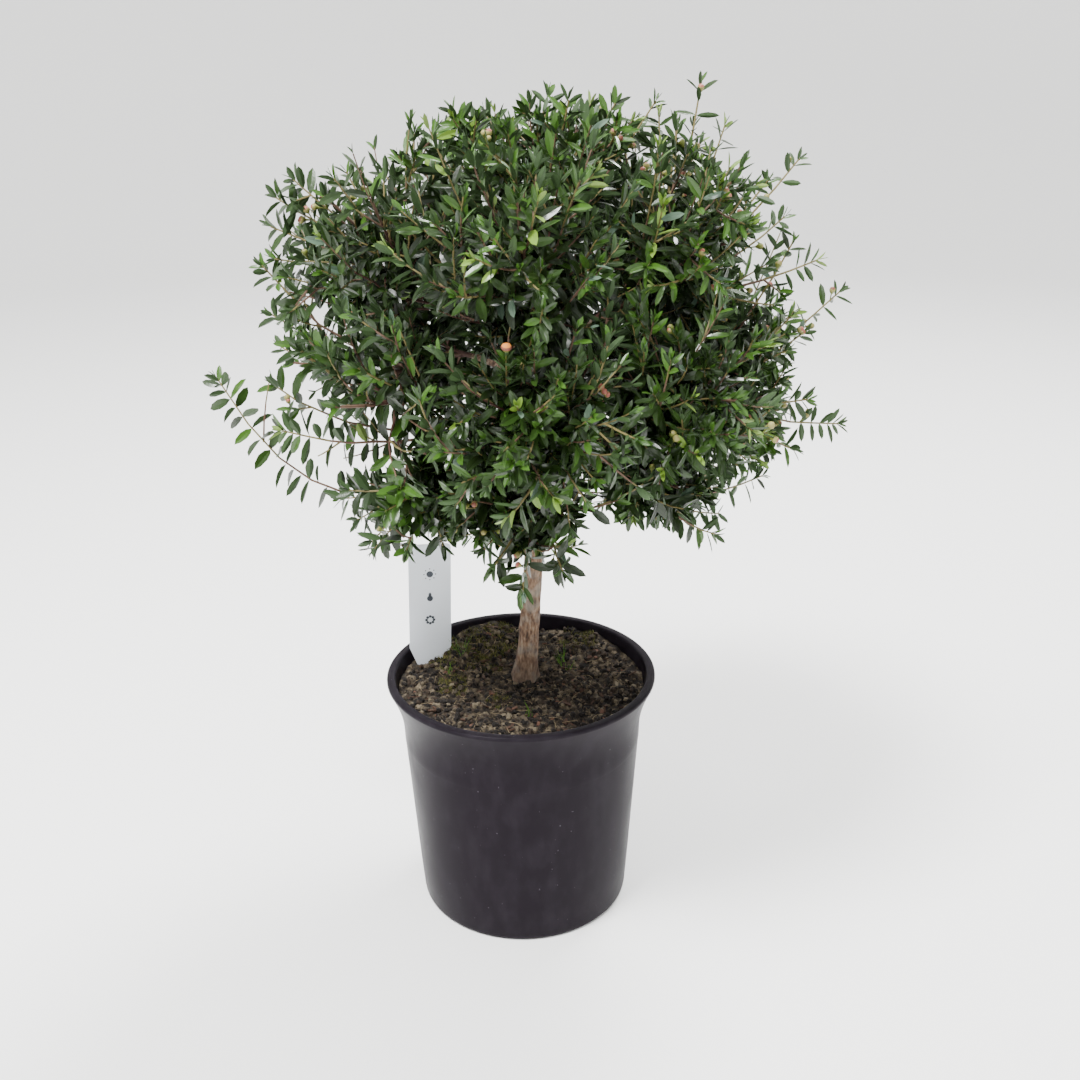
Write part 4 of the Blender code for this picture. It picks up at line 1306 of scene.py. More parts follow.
    def build_boughs(self, boughs: dict[str, Limb]) -> None:
        """Builds every bough with its bark and the swollen collar at its root.

        Args:
            boughs: The boughs by the names of their solids.
        """
        skin, gathering = LimbSkin(12, 26), Gathering()
        (swollen, fade), (rough, grain) = self.collar, self.bough_rough
        swell = 1.0 + swollen * np.exp(-skin.share / fade)
        for k, limb in enumerate(boughs.values()):
            middle, out = skin.wrap(limb)
            lumps = [1.0 + rough * noise.noise(Vector(p) / grain + Vector((k, 0, 0))) for p in middle + out]
            points = middle + out * (swell * np.array(lumps))[:, None]
            gathering.add(skin.pattern, points[None], np.array([[0]]))
        finished("bough_bark", gathering.mesh("bough_bark", 50.0), [BARK], list(boughs))


# ---- The crown


class Tint(IntEnum):
    """The finishes of the leaves: the upper faces' tints by where a shoot grows, then the undersides.

    A shoot's tints are lighter at young tips, and darker as painted shade deep inside the ball and under
    it.
    """

    DEEP, MID, FRESH, NEW, DUSTY, UNDER, UNDER_NEW = range(7)

    def underside(self) -> "Tint":
        """The finish of the same leaf's other face."""
        return Tint.UNDER_NEW if self is Tint.NEW else Tint.UNDER


LEAF_FINISHES = (LEAF_DEEP_AND_SHADED, LEAF_MID, LEAF_FRESH, LEAF_NEW, LEAF_DUSTY, LEAF_UNDER, LEAF_UNDER_NEW)


class Wood(IntEnum):
    """The finishes of the twigs, from old wood to this year's."""

    BROWN, TAN, GREEN = range(3)

    def younger(self) -> "Wood":
        """The finish of the same twig's outer part."""
        return Wood.TAN if self is Wood.BROWN else Wood.GREEN


WOOD_FINISHES = (TWIG_BROWN, TWIG_TAN, TWIG_GREEN)


class Petal(IntEnum):
    """The finishes of a bud's parts."""

    CALYX, CREAM, PINK, RUSSET, STAMEN = range(5)


PETAL_FINISHES = (BUD_CALYX, BUD_CREAM, BUD_PINK, BUD_RUSSET, STAMEN_ORANGE)


@dataclass(frozen=True)
class Habit:
    """How a kind of shoot grows."""

    # The points of its line, how far its middle wanders, and its radii
    points: int
    wander: float
    root_radius: float
    tip_radius: float
    # The share of its length at which its leaves start, and the longest step between their pairs
    leafy: float
    internode: float


class Kind(Enum):
    """The kinds of shoot, from the masses' stems to the side shoots, each with its habit."""

    STEM = Habit(9, 0.003, 0.0018, 0.0008, 0.12, 0.0058)
    TWIG = Habit(9, 0.0035, 0.0009, 0.0004, 0.36, 0.0049)
    LONG = Habit(12, 0.004, 0.0012, 0.0005, 0.3, 0.0072)
    LONG_SPARSE = Habit(12, 0.004, 0.0012, 0.0005, 0.3, 0.0092)
    HANGING = Habit(14, 0.003, 0.0012, 0.0005, 0.34, 0.0082)
    SIDE = Habit(5, 0.0, 0.0007, 0.0004, 0.08, 0.005)

    def stands_out(self) -> bool:
        """Whether shoots of this kind stand out of the ball."""
        return self in (Kind.LONG, Kind.LONG_SPARSE, Kind.HANGING)


@dataclass(frozen=True)
class LeafForm:
    """One form of the small lance-shaped leaf, drawn one unit long along +X with its upper face to +Z."""

    half_width: float
    # How far its edges rise, as a share of its half width, how far its tip bends down, and its tip's turn
    fold: float
    arch: float
    twist: float
    half_thickness: float = 0.014
    # Its stations from foot to tip, each with the share of its widest part there
    outline: Rows = ((0.0, 0.0), (0.2, 0.7), (0.5, 1.0), (0.82, 0.7), (1.0, 0.0))

    def pattern(self) -> Pattern:
        """The leaf as a small closed shape: its upper face is part 0 and its underside part 1."""
        shape = bmesh.new()
        bmesh.ops.create_uvsphere(shape, u_segments=4, v_segments=4, radius=1.0)
        for face in shape.faces:
            face.material_index = 0 if face.calc_center_median().y > 0 else 1
        heights = sorted({round(vert.co.z, 4) for vert in shape.verts})
        for vert in shape.verts:
            along, width = self.outline[heights.index(round(vert.co.z, 4))]
            flat = vert.co.xy.normalized() if vert.co.xy.length > 1e-4 else Vector((0.0, 0.0))
            side = round(flat.x) * width * self.half_width
            lift = abs(side) * self.fold + round(flat.y) * self.half_thickness * (1.0 - 0.5 * along)
            turn = math.radians(self.twist) * along
            y = side * math.cos(turn) - lift * math.sin(turn)
            z = side * math.sin(turn) + lift * math.cos(turn)
            vert.co = (along, y, z - self.arch * along**2)
        bmesh.ops.recalc_face_normals(shape, faces=shape.faces)
        return Pattern.of(shape)


@dataclass(frozen=True)
class Mass:
    """One mass of foliage, by the name of its solid."""

    name: str
    # Its direction from the hub, where its bough leaves the trunk, if it has one, and its leaves' piece
    toward: Vector
    root_height: float | None
    group: str


@dataclass(frozen=True)
class Shoot:
    """A twig with its leaves, the size of those against the usual, and the finish of its lower part."""

    kind: Kind
    limb: Limb
    mass: Mass
    vigour: float
    wood: Wood


@dataclass
class Crown:
    """The ball of foliage, grown from the hub by the same rule as its solids, to its last leaf.

    Angles are degrees and lengths metres. A patch is an azimuth, an elevation, a half angle and a share.
    A range is the least and the most.
    """

    stem: Stem
    # The outline: its middle, its radius, its height and depth, and how full its shoulders are
    centre: Vector = field(default_factory=lambda: Vector((0.0125, 0.0, 0.419)))
    radius: float = 0.169
    above: float = 0.137
    above_fullness: float = 2.4
    below: float = 0.124
    below_fullness: float = 3.0
    # How far the outline rolls in and out, as a share, and how often and from where on each axis
    lumps: float = 0.05
    lump_waves: Rows = ((7.1, 1.3), (6.3, 0.4), (8.2, 2.1))
    # The patch where it is sunk, and the half angle of the cone that the trunk comes up through
    hollow: tuple[float, ...] = (28.0, 30.0, 13.0, 0.22)
    trunk_cone: float = 27.0
    # The masses in rings: name, elevation, count, first azimuth, the heights at which even and odd boughs
    # leave the trunk, and the numbers of the masses that face the front
    rings: tuple[tuple[str, float, int, float, float, float, str], ...] = (
        ("upper", 43.0, 5, 356.0, 0.399, 0.409, "125"),
        ("middle", 4.0, 8, 0.0, 0.362, 0.382, "1238"),
        ("lower", -34.0, 6, 0.0, 0.338, 0.348, "126"),
    )
    # The masses' stems: how far inside they end, their sag, and their side shoots, the second in a gap
    stem_short: float = 0.016
    stem_sag: float = 0.004
    stem_sides: tuple[int, int] = (8, 2)
    # The places of the twigs and of the shorter ones inside, and how far they are shaken
    twigs: int = 510
    inner_twigs: int = 230
    shaken: Pair = (5.0, 3.0)
    # How far inside the outline twigs end, the reach of the inner ones, and how far the crest stands out
    twig_short: Pair = (0.008, 0.028)
    inner_reach: Pair = (0.5, 0.72)
    crest: float = 0.01
    # The share of twigs that stop short on every side, how much shorter, and the patches with more
    cut_share: float = 0.08
    cut_short: Pair = (0.026, 0.046)
    open_sides: Rows = (
        (94.0, 16.0, 40.0, 0.62), (284.0, -14.0, 36.0, 0.7), (300.0, 40.0, 24.0, 0.35)
    )
    # The patches where twigs, side shoots and leaves are missing
    bare_gaps: Rows = (
        (270.0, -17.0, 19.0, 0.97), (294.0, -13.0, 19.0, 0.97), (246.0, -20.0, 18.0, 0.92),
        (313.0, -8.0, 15.0, 0.85), (230.0, -26.0, 14.0, 0.7), (275.0, 14.0, 22.0, 0.3),
        (292.0, 46.0, 12.0, 0.5), (262.0, 44.0, 12.0, 0.5), (24.0, -42.0, 19.0, 0.92),
        (38.0, -58.0, 14.0, 0.9), (95.0, -72.0, 13.0, 0.85), (140.0, -64.0, 13.0, 0.85),
        (92.0, 38.0, 16.0, 0.35),
    )
    # The share of a stem that bears twigs, their side shoots, their sag above and near the underside, the
    # height from -1 to 1 that parts the two, and the size of their leaves against the usual
    fork: float = 0.62
    twig_sides: tuple[int, ...] = (2, 2, 3, 3)
    twig_sag: Pair = (0.26, 0.08)
    sag_below: float = -0.15
    twig_vigour: Pair = (0.85, 1.1)
    # The size of the bends that shoots wander in
    drift_size: float = 0.022
    # The shoots that stand out: azimuth, elevation, length from the hub and how many budding places
    long_shoots: Rows = (
        (87.8, 60.0, 0.212, 3), (90.0, 38.8, 0.219, 3), (79.0, 23.5, 0.199, 2),
        (90.0, 14.7, 0.211, 3), (88.9, -9.9, 0.212, 2), (271.4, 25.8, 0.185, 1),
        (271.6, 40.8, 0.198, 1), (264.8, 13.1, 0.182, 0), (289.3, -26.4, 0.148, 0),
        (296.6, -40.4, 0.16, 0), (271.9, -38.8, 0.162, 0), (282.0, -43.4, 0.161, 0),
        (271.4, 36.2, 0.201, 1), (271.4, 31.1, 0.195, 0), (271.3, 23.6, 0.191, 0),
        (274.7, 74.0, 0.177, 0), (313.5, -38.9, 0.151, 0), (327.9, -37.3, 0.143, 0),
        (342.0, -38.0, 0.14, 0), (271.7, -31.9, 0.162, 0), (76.7, 40.6, 0.196, 2),
        (87.8, 57.2, 0.19, 2), (99.7, 58.6, 0.186, 1), (79.9, 64.1, 0.185, 1),
        (88.6, 32.1, 0.193, 2), (88.6, 27.0, 0.191, 1), (88.7, 8.7, 0.185, 1),
        (81.5, 6.8, 0.17, 0), (88.6, -18.6, 0.174, 1), (88.3, -37.8, 0.166, 0),
        (62.7, 40.7, 0.185, 1), (101.5, 50.5, 0.204, 2), (78.7, -14.4, 0.183, 1),
        (75.8, -2.5, 0.183, 1), (88.5, -24.7, 0.176, 0), (74.4, -39.4, 0.166, 1),
        (56.3, -34.2, 0.142, 0), (356.2, -30.7, 0.18, 2), (349.9, -27.5, 0.169, 0),
        (5.0, -27.5, 0.173, 1), (144.0, 83.6, 0.179, 0), (43.8, 79.1, 0.179, 0),
        (85.6, 72.8, 0.181, 1), (274.9, 74.3, 0.173, 0), (226.9, 77.0, 0.172, 1),
        (107.8, 63.5, 0.193, 1), (273.2, 65.1, 0.173, 0), (272.0, 49.0, 0.178, 1),
        (290.4, 46.4, 0.184, 0), (182.0, 14.0, 0.196, 1), (160.0, 48.0, 0.206, 1),
        (216.0, -12.0, 0.185, 0), (150.0, 12.0, 0.196, 1), (235.0, 22.0, 0.19, 0),
        (200.0, 42.0, 0.196, 1), (168.0, -20.0, 0.18, 0), (122.0, -6.0, 0.195, 1),
        (90.0, 13.0, 0.18, 1), (76.0, 15.0, 0.175, 0), (101.0, 10.0, 0.18, 0),
    )
    bud_shares: tuple[float, ...] = (0.8, 0.64, 0.95)
    # The shoots that hang out at the left and turn up: three places each, from the hub
    hanging_shoots: tuple[Rows, ...] = (
        ((-0.04, 0.0, -0.052), (-0.146, 0.0, -0.127), (-0.204, 0.0, 0.001)),
        ((-0.05, -0.012, -0.035), (-0.11, -0.012, -0.047), (-0.163, -0.012, -0.031)),
        ((-0.04, 0.018, -0.035), (-0.12, 0.018, -0.055), (-0.172, 0.018, -0.008)),
        ((-0.04, -0.02, -0.004), (-0.105, -0.02, -0.022), (-0.15, -0.02, 0.027)),
    )
    # Side shoots: where on a twig they grow, how near to the hub none does, lean, length, the least left,
    # how far inside they end, and the size of their leaves
    side_places: Pair = (0.2, 0.9)
    side_clear: float = 0.066
    side_lean: Pair = (34, 56)
    side_length: Pair = (0.018, 0.042)
    side_least: float = 0.01
    side_short: float = 0.006
    side_vigour: Pair = (0.75, 1.05)
    # How much further from the hub than the boughs' ends the leaves start
    bare_wood: float = 0.014
    # A grown leaf, the pairs' sizes and spreads from the tip down, the first step and its growth, half the
    # widths of the leaf's forms, and the ranges of their fold, arch and twist
    leaf_length: float = 0.0152
    leaf_sizes: tuple[float, ...] = (0.45, 0.66, 0.84, 0.96, 1.0)
    leaf_spreads: tuple[float, ...] = (16.0, 30.0, 42.0, 50.0, 56.0, 62.0, 66.0)
    leaf_steps: Pair = (0.0016, 0.0011)
    leaf_widths: tuple[float, ...] = (0.13, 0.143, 0.156, 0.168, 0.18, 0.192)
    leaf_bends: Rows = ((0.22, 0.5), (-0.08, 0.18), (-16, 16))
    # The share of leaves missing at the tip and more for each pair down, and the roll about their midribs
    lost: Pair = (0.03, 0.02)
    roll: float = 50.0
    long_roll: float = 78.0
    # The shares of limed leaves and of stray tints, and how deep a tip lies for wholly and half painted
    # shade
    dusty: float = 0.018
    stray: float = 0.32
    painted_shade_depths: Pair = (0.034, 0.018)
    # Buds: their stations from the stalk's foot, length in millimetres, share in the sun and elsewhere
    bud_outline: Rows = (
        (0.0, 0.035), (0.48, 0.042), (0.58, 0.11), (0.7, 0.175),
        (0.8, 0.2), (0.9, 0.17), (0.98, 0.07),
    )
    bud_length: Pair = (8.6, 11.4)
    bud_chance: Pair = (0.13, 0.02)
    # The one spent flower's place, width and length
    spent_flower: Vector = field(default_factory=lambda: Vector((-0.005, -0.17, 0.44)))
    spent_size: Pair = (0.015, 0.01)
    # So that every run grows the same crown
    seed: int = 7

    def __post_init__(self) -> None:
        """Sets out the masses and starts the random numbers."""
        self.rng = random.Random(self.seed)
        noise.seed_set(self.seed)
        self.masses = [Mass("mass_top", self.stem.rise(), None, "leaves_top")]
        for name, elevation, count, first, low, high, in_front in self.rings:
            for k in range(count):
                toward = direction(first + 360.0 * k / count, elevation)
                root_height = low + (high - low) * (k % 2)
                group = f"leaves_{name}_{'front' if str(k + 1) in in_front else 'back'}"
                self.masses.append(Mass(f"mass_{name}_{k + 1}", toward, root_height, group))
        self.stems: dict[str, Limb] = {}
        self.shoots: list[Shoot] = []
        self.bud_places: list[tuple[Vector, Vector]] = []

    def holds(self, point: Vector) -> bool:
        """Whether a point lies inside the smooth outline.

        Args:
            point: The point.

        Returns:
            Whether it does.
        """
        out = point - self.centre
        above = out.z > 0.0
        height = self.above if above else self.below
        fullness = self.above_fullness if above else self.below_fullness
        level = math.hypot(out.x, out.y)
        return (level / self.radius) ** fullness + (abs(out.z) / height) ** fullness < 1.0

    def reach(self, toward: Vector) -> float:
        """How far the outline lies from the hub, with its lumps and its hollow.

        Args:
            toward: The direction from the hub.

        Returns:
            The distance.
        """
        inside, outside = 0.0, 2 * self.radius
        while outside - inside > 2e-4:
            middle = 0.5 * (inside + outside)
            if self.holds(self.stem.hub + middle * toward):
                inside = middle
            else:
                outside = middle
        x, y, z = (math.sin(often * way + start) for way, (often, start) in zip(toward, self.lump_waves))
        azimuth, elevation, wide, depth = self.hollow
        off = math.degrees(toward.angle(direction(azimuth, elevation)))
        return inside * (1.0 + 0.5 * self.lumps * (x * y + z) - depth * math.exp(-((off / wide) ** 2)))

    def owner(self, way: Vector) -> Mass:
        """The mass whose cone a direction lies in."""
        return max(self.masses, key=lambda mass: mass.toward.dot(way))

    def boughs(self) -> dict[str, Limb]:
        """Every bough by the name of its solid."""
        return {
            mass.name.replace("mass", "bough"): self.stem.bough(mass.toward, mass.root_height)
            for mass in self.masses
            if mass.root_height is not None
        }

    def share_of(self, patches: Rows, way: Vector) -> float:
        """The largest share that any patch gives in a direction.

        Args:
            patches: The patches.
            way: The direction from the hub.

        Returns:
            The share.
        """
        shares = [0.0]
        for azimuth, elevation, wide, most in patches:
            off = math.degrees(way.angle(direction(azimuth, elevation)))
            shares.append(most * math.exp(-((off / wide) ** 4)))
        return max(shares)

    def spread(self, count: int) -> list[Vector]:
        """Spreads directions evenly on a golden spiral, a little shaken, but for the trunk's opening.

        Args:
            count: How many the whole ball would have.

        Returns:
            The directions.
        """
        golden = math.degrees(math.pi * (3.0 - math.sqrt(5.0)))
        turned, tipped = self.shaken
        ways = []
        for k in range(count):
            elevation = math.degrees(math.asin(1.0 - (2 * k + 1) / count))
            if elevation + 90.0 > self.trunk_cone:
                azimuth = golden * k + self.rng.uniform(-turned, turned)
                ways.append(direction(azimuth, elevation + self.rng.uniform(-tipped, tipped)))
        return ways

    def wandering(self, line: list[Vector], how_far: float) -> list[Vector]:
        """Lets the middle of a line wander a little.

        Args:
            line: The line, whose ends are kept.
            how_far: How far its middle may drift.

        Returns:
            The wandering line.
        """
        last = len(line) - 1
        drifts = (noise.noise_vector(point / self.drift_size) * how_far for point in line)
        shares = (math.sin(math.pi * k / last) for k in range(last + 1))
        return [point + drift * share for point, drift, share in zip(line, drifts, shares)]

    def grow_shoot(
        self, kind: Kind, mass: Mass, aims: tuple[Vector, Vector, Vector], vigour: float, wood: Wood
    ) -> Shoot:
        """Grows one shoot.

        Args:
            kind: How it grows.
            mass: The mass that it belongs to.
            aims: Where it starts, the place that it is drawn towards, and where it ends.
            vigour: The size of its leaves against the usual.
            wood: The finish of its lower part.

        Returns:
            The shoot.
        """
        habit = kind.value
        line = self.wandering(bent(*aims, habit.points), habit.wander)
        shoot = Shoot(kind, Limb(line, habit.root_radius, habit.tip_radius), mass, vigour, wood)
        self.shoots.append(shoot)
        return shoot

    def grow(self) -> None:
        """Grows the stems of the masses, the even twigs, the long shoots and their side shoots."""
        hub = self.stem.hub
        for mass in self.masses:
            foot = hub + mass.toward * self.stem.bare_radius
            end = hub + mass.toward * (self.reach(mass.toward) - self.stem_short)
            aims = (foot, 0.5 * (foot + end) - self.stem_sag * UP, end)
            shoot = self.grow_shoot(Kind.STEM, mass, aims, 1.0, Wood.BROWN)
            self.stems[mass.name] = shoot.limb
            self.branch(shoot, self.stem_sides[self.share_of(self.bare_gaps, mass.toward) > 0.3])
        for way in self.spread(self.twigs):
            if self.rng.random() < self.share_of(self.bare_gaps, way):
                continue
            cut = self.rng.random() < self.cut_share + self.share_of(self.open_sides, way)
            short = self.rng.uniform(*self.cut_short) if cut else 0.0
            reach = self.reach(way) + self.crest * max(0.0, way.z) - short
            self.grow_twig(way, reach - self.rng.uniform(*self.twig_short))
        for way in self.spread(self.inner_twigs):
            if self.rng.random() >= self.share_of(self.bare_gaps, way):
                self.grow_twig(way, self.reach(way) * self.rng.uniform(*self.inner_reach))
        for k, (azimuth, elevation, length, buds) in enumerate(self.long_shoots):
            self.grow_long_shoot(direction(azimuth, elevation), length, 0.1 + 0.05 * (k % 3), buds)
        for places in self.hanging_shoots:
            aims = tuple(hub + Vector(place) for place in places)
            mass = self.owner((aims[0] - hub).normalized())
            shoot = self.grow_shoot(Kind.HANGING, mass, aims, 1.16, Wood.TAN)
            shoot.limb.line.insert(0, self.stems[mass.name].at(0.2)[0])
            self.branch(shoot, 3)

    def grow_twig(self, way: Vector, length: float) -> None:
        """Grows one of the even twigs with its side shoots.

        Args:
            way: Its direction from the hub.
            length: How far from the hub it ends.
        """
        mass = self.owner(way)
        start = self.stems[mass.name].at(self.rng.uniform(0.0, self.fork))[0]
        end = self.stem.hub + way * length
        run = end - start
        sag = self.twig_sag[way.z <= self.sag_below]
        outward = mass.toward.lerp(run.normalized(), 0.55)
        control = start + 0.5 * run.length * outward - sag * run.length * UP
        vigour = self.rng.uniform(*self.twig_vigour)
        wood = Wood.BROWN if self.rng.random() < 0.5 else Wood.TAN
        shoot = self.grow_shoot(Kind.TWIG, mass, (start, control, end), vigour, wood)
        self.branch(shoot, self.rng.choice(self.twig_sides))

    def grow_long_shoot(self, way: Vector, length: float, share: float, buds: int) -> None:
        """Grows one of the shoots that stand out of the ball, sparser in leaf, with its buds.

        Args:
            way: Its direction from the hub.
            length: How far from the hub its last leaves reach.
            share: Where it leaves its mass's stem, as a share of the stem.
            buds: How many budding places it has.
        """
        mass = self.owner(way)
        start = self.stems[mass.name].at(share)[0]
        end = self.stem.hub + way * (length - 0.008)
        run = end - start
        left, right = way.x < -0.7 and way.z < 0.2, way.x > 0.4
        sag = 0.65 * max(0.0, 1.0 + 1.6 * way.z) if left else 0.25 if right else 0.05
        outward = mass.toward.lerp(run.normalized(), 0.5)
        control = start + 0.5 * run.length * outward - sag * run.length * UP
        kind, vigour = (Kind.LONG_SPARSE, 0.92) if right else (Kind.LONG, 1.1)
        shoot = self.grow_shoot(kind, mass, (start, control, end), vigour, Wood.TAN)
        self.branch(shoot, 2)
        self.bud_places += [shoot.limb.at(bud_share) for bud_share in self.bud_shares[:buds]]

    def branch(self, parent: Shoot, count: int) -> None:
        """Grows side shoots on a twig, none of them past the outline or near the hub.

        Args:
            parent: The twig.
            count: How many to try.
        """
        hub = self.stem.hub
        for _ in range(count):
            spot, axis = parent.limb.at(self.rng.uniform(*self.side_places))
            if (spot - hub).length < self.side_clear:
                continue
            out = spoke(axis, self.rng.uniform(0, math.tau))
            lean = math.radians(self.rng.uniform(*self.side_lean))
            way = (math.cos(lean) * axis + math.sin(lean) * out + 0.15 * UP).normalized()
            length = self.rng.uniform(*self.side_length)
            end = spot + way * length
            offset = end - hub
            limit = max(self.reach(offset.normalized()) - self.side_short, (spot - hub).length)
            if offset.length > limit:
                end = hub + offset.normalized() * limit
            thinned = 0.0 if parent.kind.stands_out() else self.share_of(self.bare_gaps, offset)
            if (end - spot).length < self.side_least or self.rng.random() < thinned:
                continue
            control = spot + 0.5 * (end - spot) + 0.1 * length * (axis - UP)
            wood = self.rng.choice((Wood.TAN, Wood.GREEN))
            vigour = self.rng.uniform(*self.side_vigour)
            self.grow_shoot(Kind.SIDE, parent.mass, (spot, control, end), vigour, wood)

    def leaves_of(self, shoot: Shoot) -> list[tuple[Matrix, Tint]]:
        """Sets opposite pairs along a shoot, from its tip down, each pair square to the last.

        Args:
            shoot: The shoot.

        Returns:
            Each leaf's place and its upper face's tint.
        """
        rng, limb, habit = self.rng, shoot.limb, shoot.kind.value
        length = limb.length()
        tip = limb.line[-1] - self.stem.hub
        turn = rng.uniform(0, math.pi)
        # The shoot's tints, darkened as painted shade by how deep and how low its tip lies
        tints = self.tints(self.reach(tip.normalized()) - tip.length, tip.normalized().z)
        made = []
        back, pair = 0.0, 0
        while back < length * (1.0 - habit.leafy):
            spot, axis = limb.at(1.0 - back / length)
            out_to = spot - self.stem.hub
            bare = out_to.length < self.stem.bare_radius + self.bare_wood
            if out_to.length > 0.06 and not shoot.kind.stands_out():
                bare = bare or rng.random() < self.share_of(self.bare_gaps, out_to)
            for half in (0.0, math.pi):
                if bare or rng.random() < self.lost[0] + self.lost[1] * pair:
                    continue
                place = self.leaf_place(shoot, spot, axis, turn + half + rng.uniform(-0.25, 0.25), pair)
                made.append((place, self.tint(tints, pair)))
            step = self.leaf_steps[0] + self.leaf_steps[1] * pair
            back += min(step, habit.internode) * rng.uniform(0.85, 1.15)
            turn += math.pi / 2 + rng.uniform(-0.12, 0.12)
            pair += 1
        return made

    def leaf_place(self, shoot: Shoot, spot: Vector, axis: Vector, turn: float, pair: int) -> Matrix:
        """Sets one leaf on its shoot.

        Args:
            shoot: The shoot.
            spot: Where the leaf is joined to it.
            axis: The shoot's direction there.
            turn: The leaf's turn about the shoot, in radians.
            pair: The number of its pair from the tip.

        Returns:
            The leaf's place and size.
        """
        rng, open_shoot = self.rng, shoot.kind.stands_out()
        out = spoke(axis, turn)
        level = 1.0 - abs(axis.z)
        out = (out + (1.8 if open_shoot else 0.55) * level * out.z * UP).normalized()
        opened = 1.22 if open_shoot else 1.0 - 0.3 * max(0.0, axis.z)
        spread = math.radians(opened * self.leaf_spreads[min(pair, 6)] + rng.uniform(-9, 9))
        along = math.cos(spread) * axis + math.sin(spread) * out
        along = (along - 0.04 * min(pair, 5) * UP).normalized()
        face = (math.sin(spread) * axis - math.cos(spread) * out).lerp(UP, 0.16)
        most = self.long_roll if open_shoot else self.roll
        roll = math.radians(most * rng.uniform(0.2, 1.0) * rng.choice((-1, 1)))
        breadth = Matrix.Rotation(roll, 3, along) @ face.cross(along).normalized()
        size = self.leaf_length * shoot.vigour * self.leaf_sizes[min(pair, 4)] * rng.uniform(0.88, 1.12)
        return placed(spot, along * size, breadth * size, along.cross(breadth) * size)

    def tints(self, depth: float, height: float) -> tuple[Tint, Tint, Tint]:
        """Picks a shoot's tints, with painted shade when its tip lies deep in the ball, and for most tips
        low under it.

        Args:
            depth: How far inside the outline its tip lies.
            height: How high its tip lies, from -1 under the hub to 1 above it.

        Returns:
            The tints at its tip, behind it and further down.
        """
        shaded_deep, shaded_half = self.painted_shade_depths
        pick = self.rng.choice
        # Painted shade: a tip deep inside the ball, and most tips low under it, get only the darker tints
        if depth > shaded_deep or (height < -0.25 and self.rng.random() < 0.6):
            return Tint.MID, Tint.DEEP, Tint.DEEP
        # Painted half shade for a tip less deep inside the ball
        if depth > shaded_half:
            return pick((Tint.FRESH, Tint.MID)), pick((Tint.MID, Tint.DEEP)), Tint.DEEP
        new = Tint.NEW if self.rng.random() < 0.22 else Tint.FRESH
        return new, pick((Tint.FRESH, Tint.MID, Tint.MID)), pick((Tint.MID, Tint.DEEP))

    def tint(self, tints: tuple[Tint, Tint, Tint], pair: int) -> Tint:
        """Picks one leaf's tint.

        Args:
            tints: Its shoot's tints.
            pair: The number of its pair from the tip.

        Returns:
            The tint.
        """
        if self.rng.random() < self.dusty:
            return Tint.DUSTY
        if self.rng.random() < self.stray:
            return self.rng.choice(tints)
        return tints[0] if pair < 2 else tints[1] if pair < 6 else tints[2]

    def build(self) -> None:
        """Grows the crown and builds its pieces."""
        self.grow()
        self.build_twigs()
        self.build_leaves()
        self.build_buds()

    def build_twigs(self) -> None:
        """Joins every stem, twig and side shoot into one piece."""
        long_skin, side_skin = LimbSkin(6, 9, 0.72), LimbSkin(5, 4, 0.5)
        gathering = Gathering()
        for shoot in self.shoots:
            skin = side_skin if shoot.kind is Kind.SIDE else long_skin
            skin.cover(gathering, shoot.limb, shoot.wood, shoot.wood.younger())
        finished("crown_twigs", gathering.mesh("crown_twigs"), WOOD_FINISHES)

    def build_leaves(self) -> None:
        """Joins the leaves into a few pieces, each standing for the masses that it covers."""
        rng = self.rng
        patterns = [
            LeafForm(width, *(rng.uniform(*span) for span in self.leaf_bends)).pattern()
            for width in self.leaf_widths
        ]
        most = len(patterns) - 1
        dealt: dict[str, list[list[tuple[Matrix, Tint]]]] = {
            group: [[] for _ in patterns] for group in sorted({mass.group for mass in self.masses})
        }
        for shoot in self.shoots:
            way = (shoot.limb.line[-1] - self.stem.hub).normalized()
            for leaf in self.leaves_of(shoot):
                form = round(0.5 * most - 1.5 * way.x - 1.2 * way.z + rng.uniform(-1.5, 1.5))
                dealt[shoot.mass.group][max(0, min(most, form))].append(leaf)
        for group, by_form in dealt.items():
            gathering = Gathering()
            for pattern, leaves in zip(patterns, by_form):
                if leaves:
                    tints = np.array([[tint, tint.underside()] for _, tint in leaves])
                    gathering.add(pattern, pattern.copies([place for place, _ in leaves]), tints)
            LOG.info("%s: %d leaves", group, sum(len(leaves) for leaves in by_form))
            nodes = [mass.name for mass in self.masses if mass.group == group]
            finished(group, gathering.mesh(group, 20.0), LEAF_FINISHES, nodes)

    def bud_pattern(self) -> Pattern:
        """A round bud, one unit long along +Z: its stalk and calyx, its petals' sides, and their top."""
        shape = tube(8, len(self.bud_outline))
        for vert in shape.verts:
            along, radius = self.bud_outline[round((vert.co.z + 0.5) * (len(self.bud_outline) - 1))]
            vert.co = (vert.co.x * radius, vert.co.y * radius, along)
        for face in shape.faces:
            height = face.calc_center_median().z
            face.material_index = int(height > 0.7) + int(height > 0.86)
        return Pattern.of(shape)

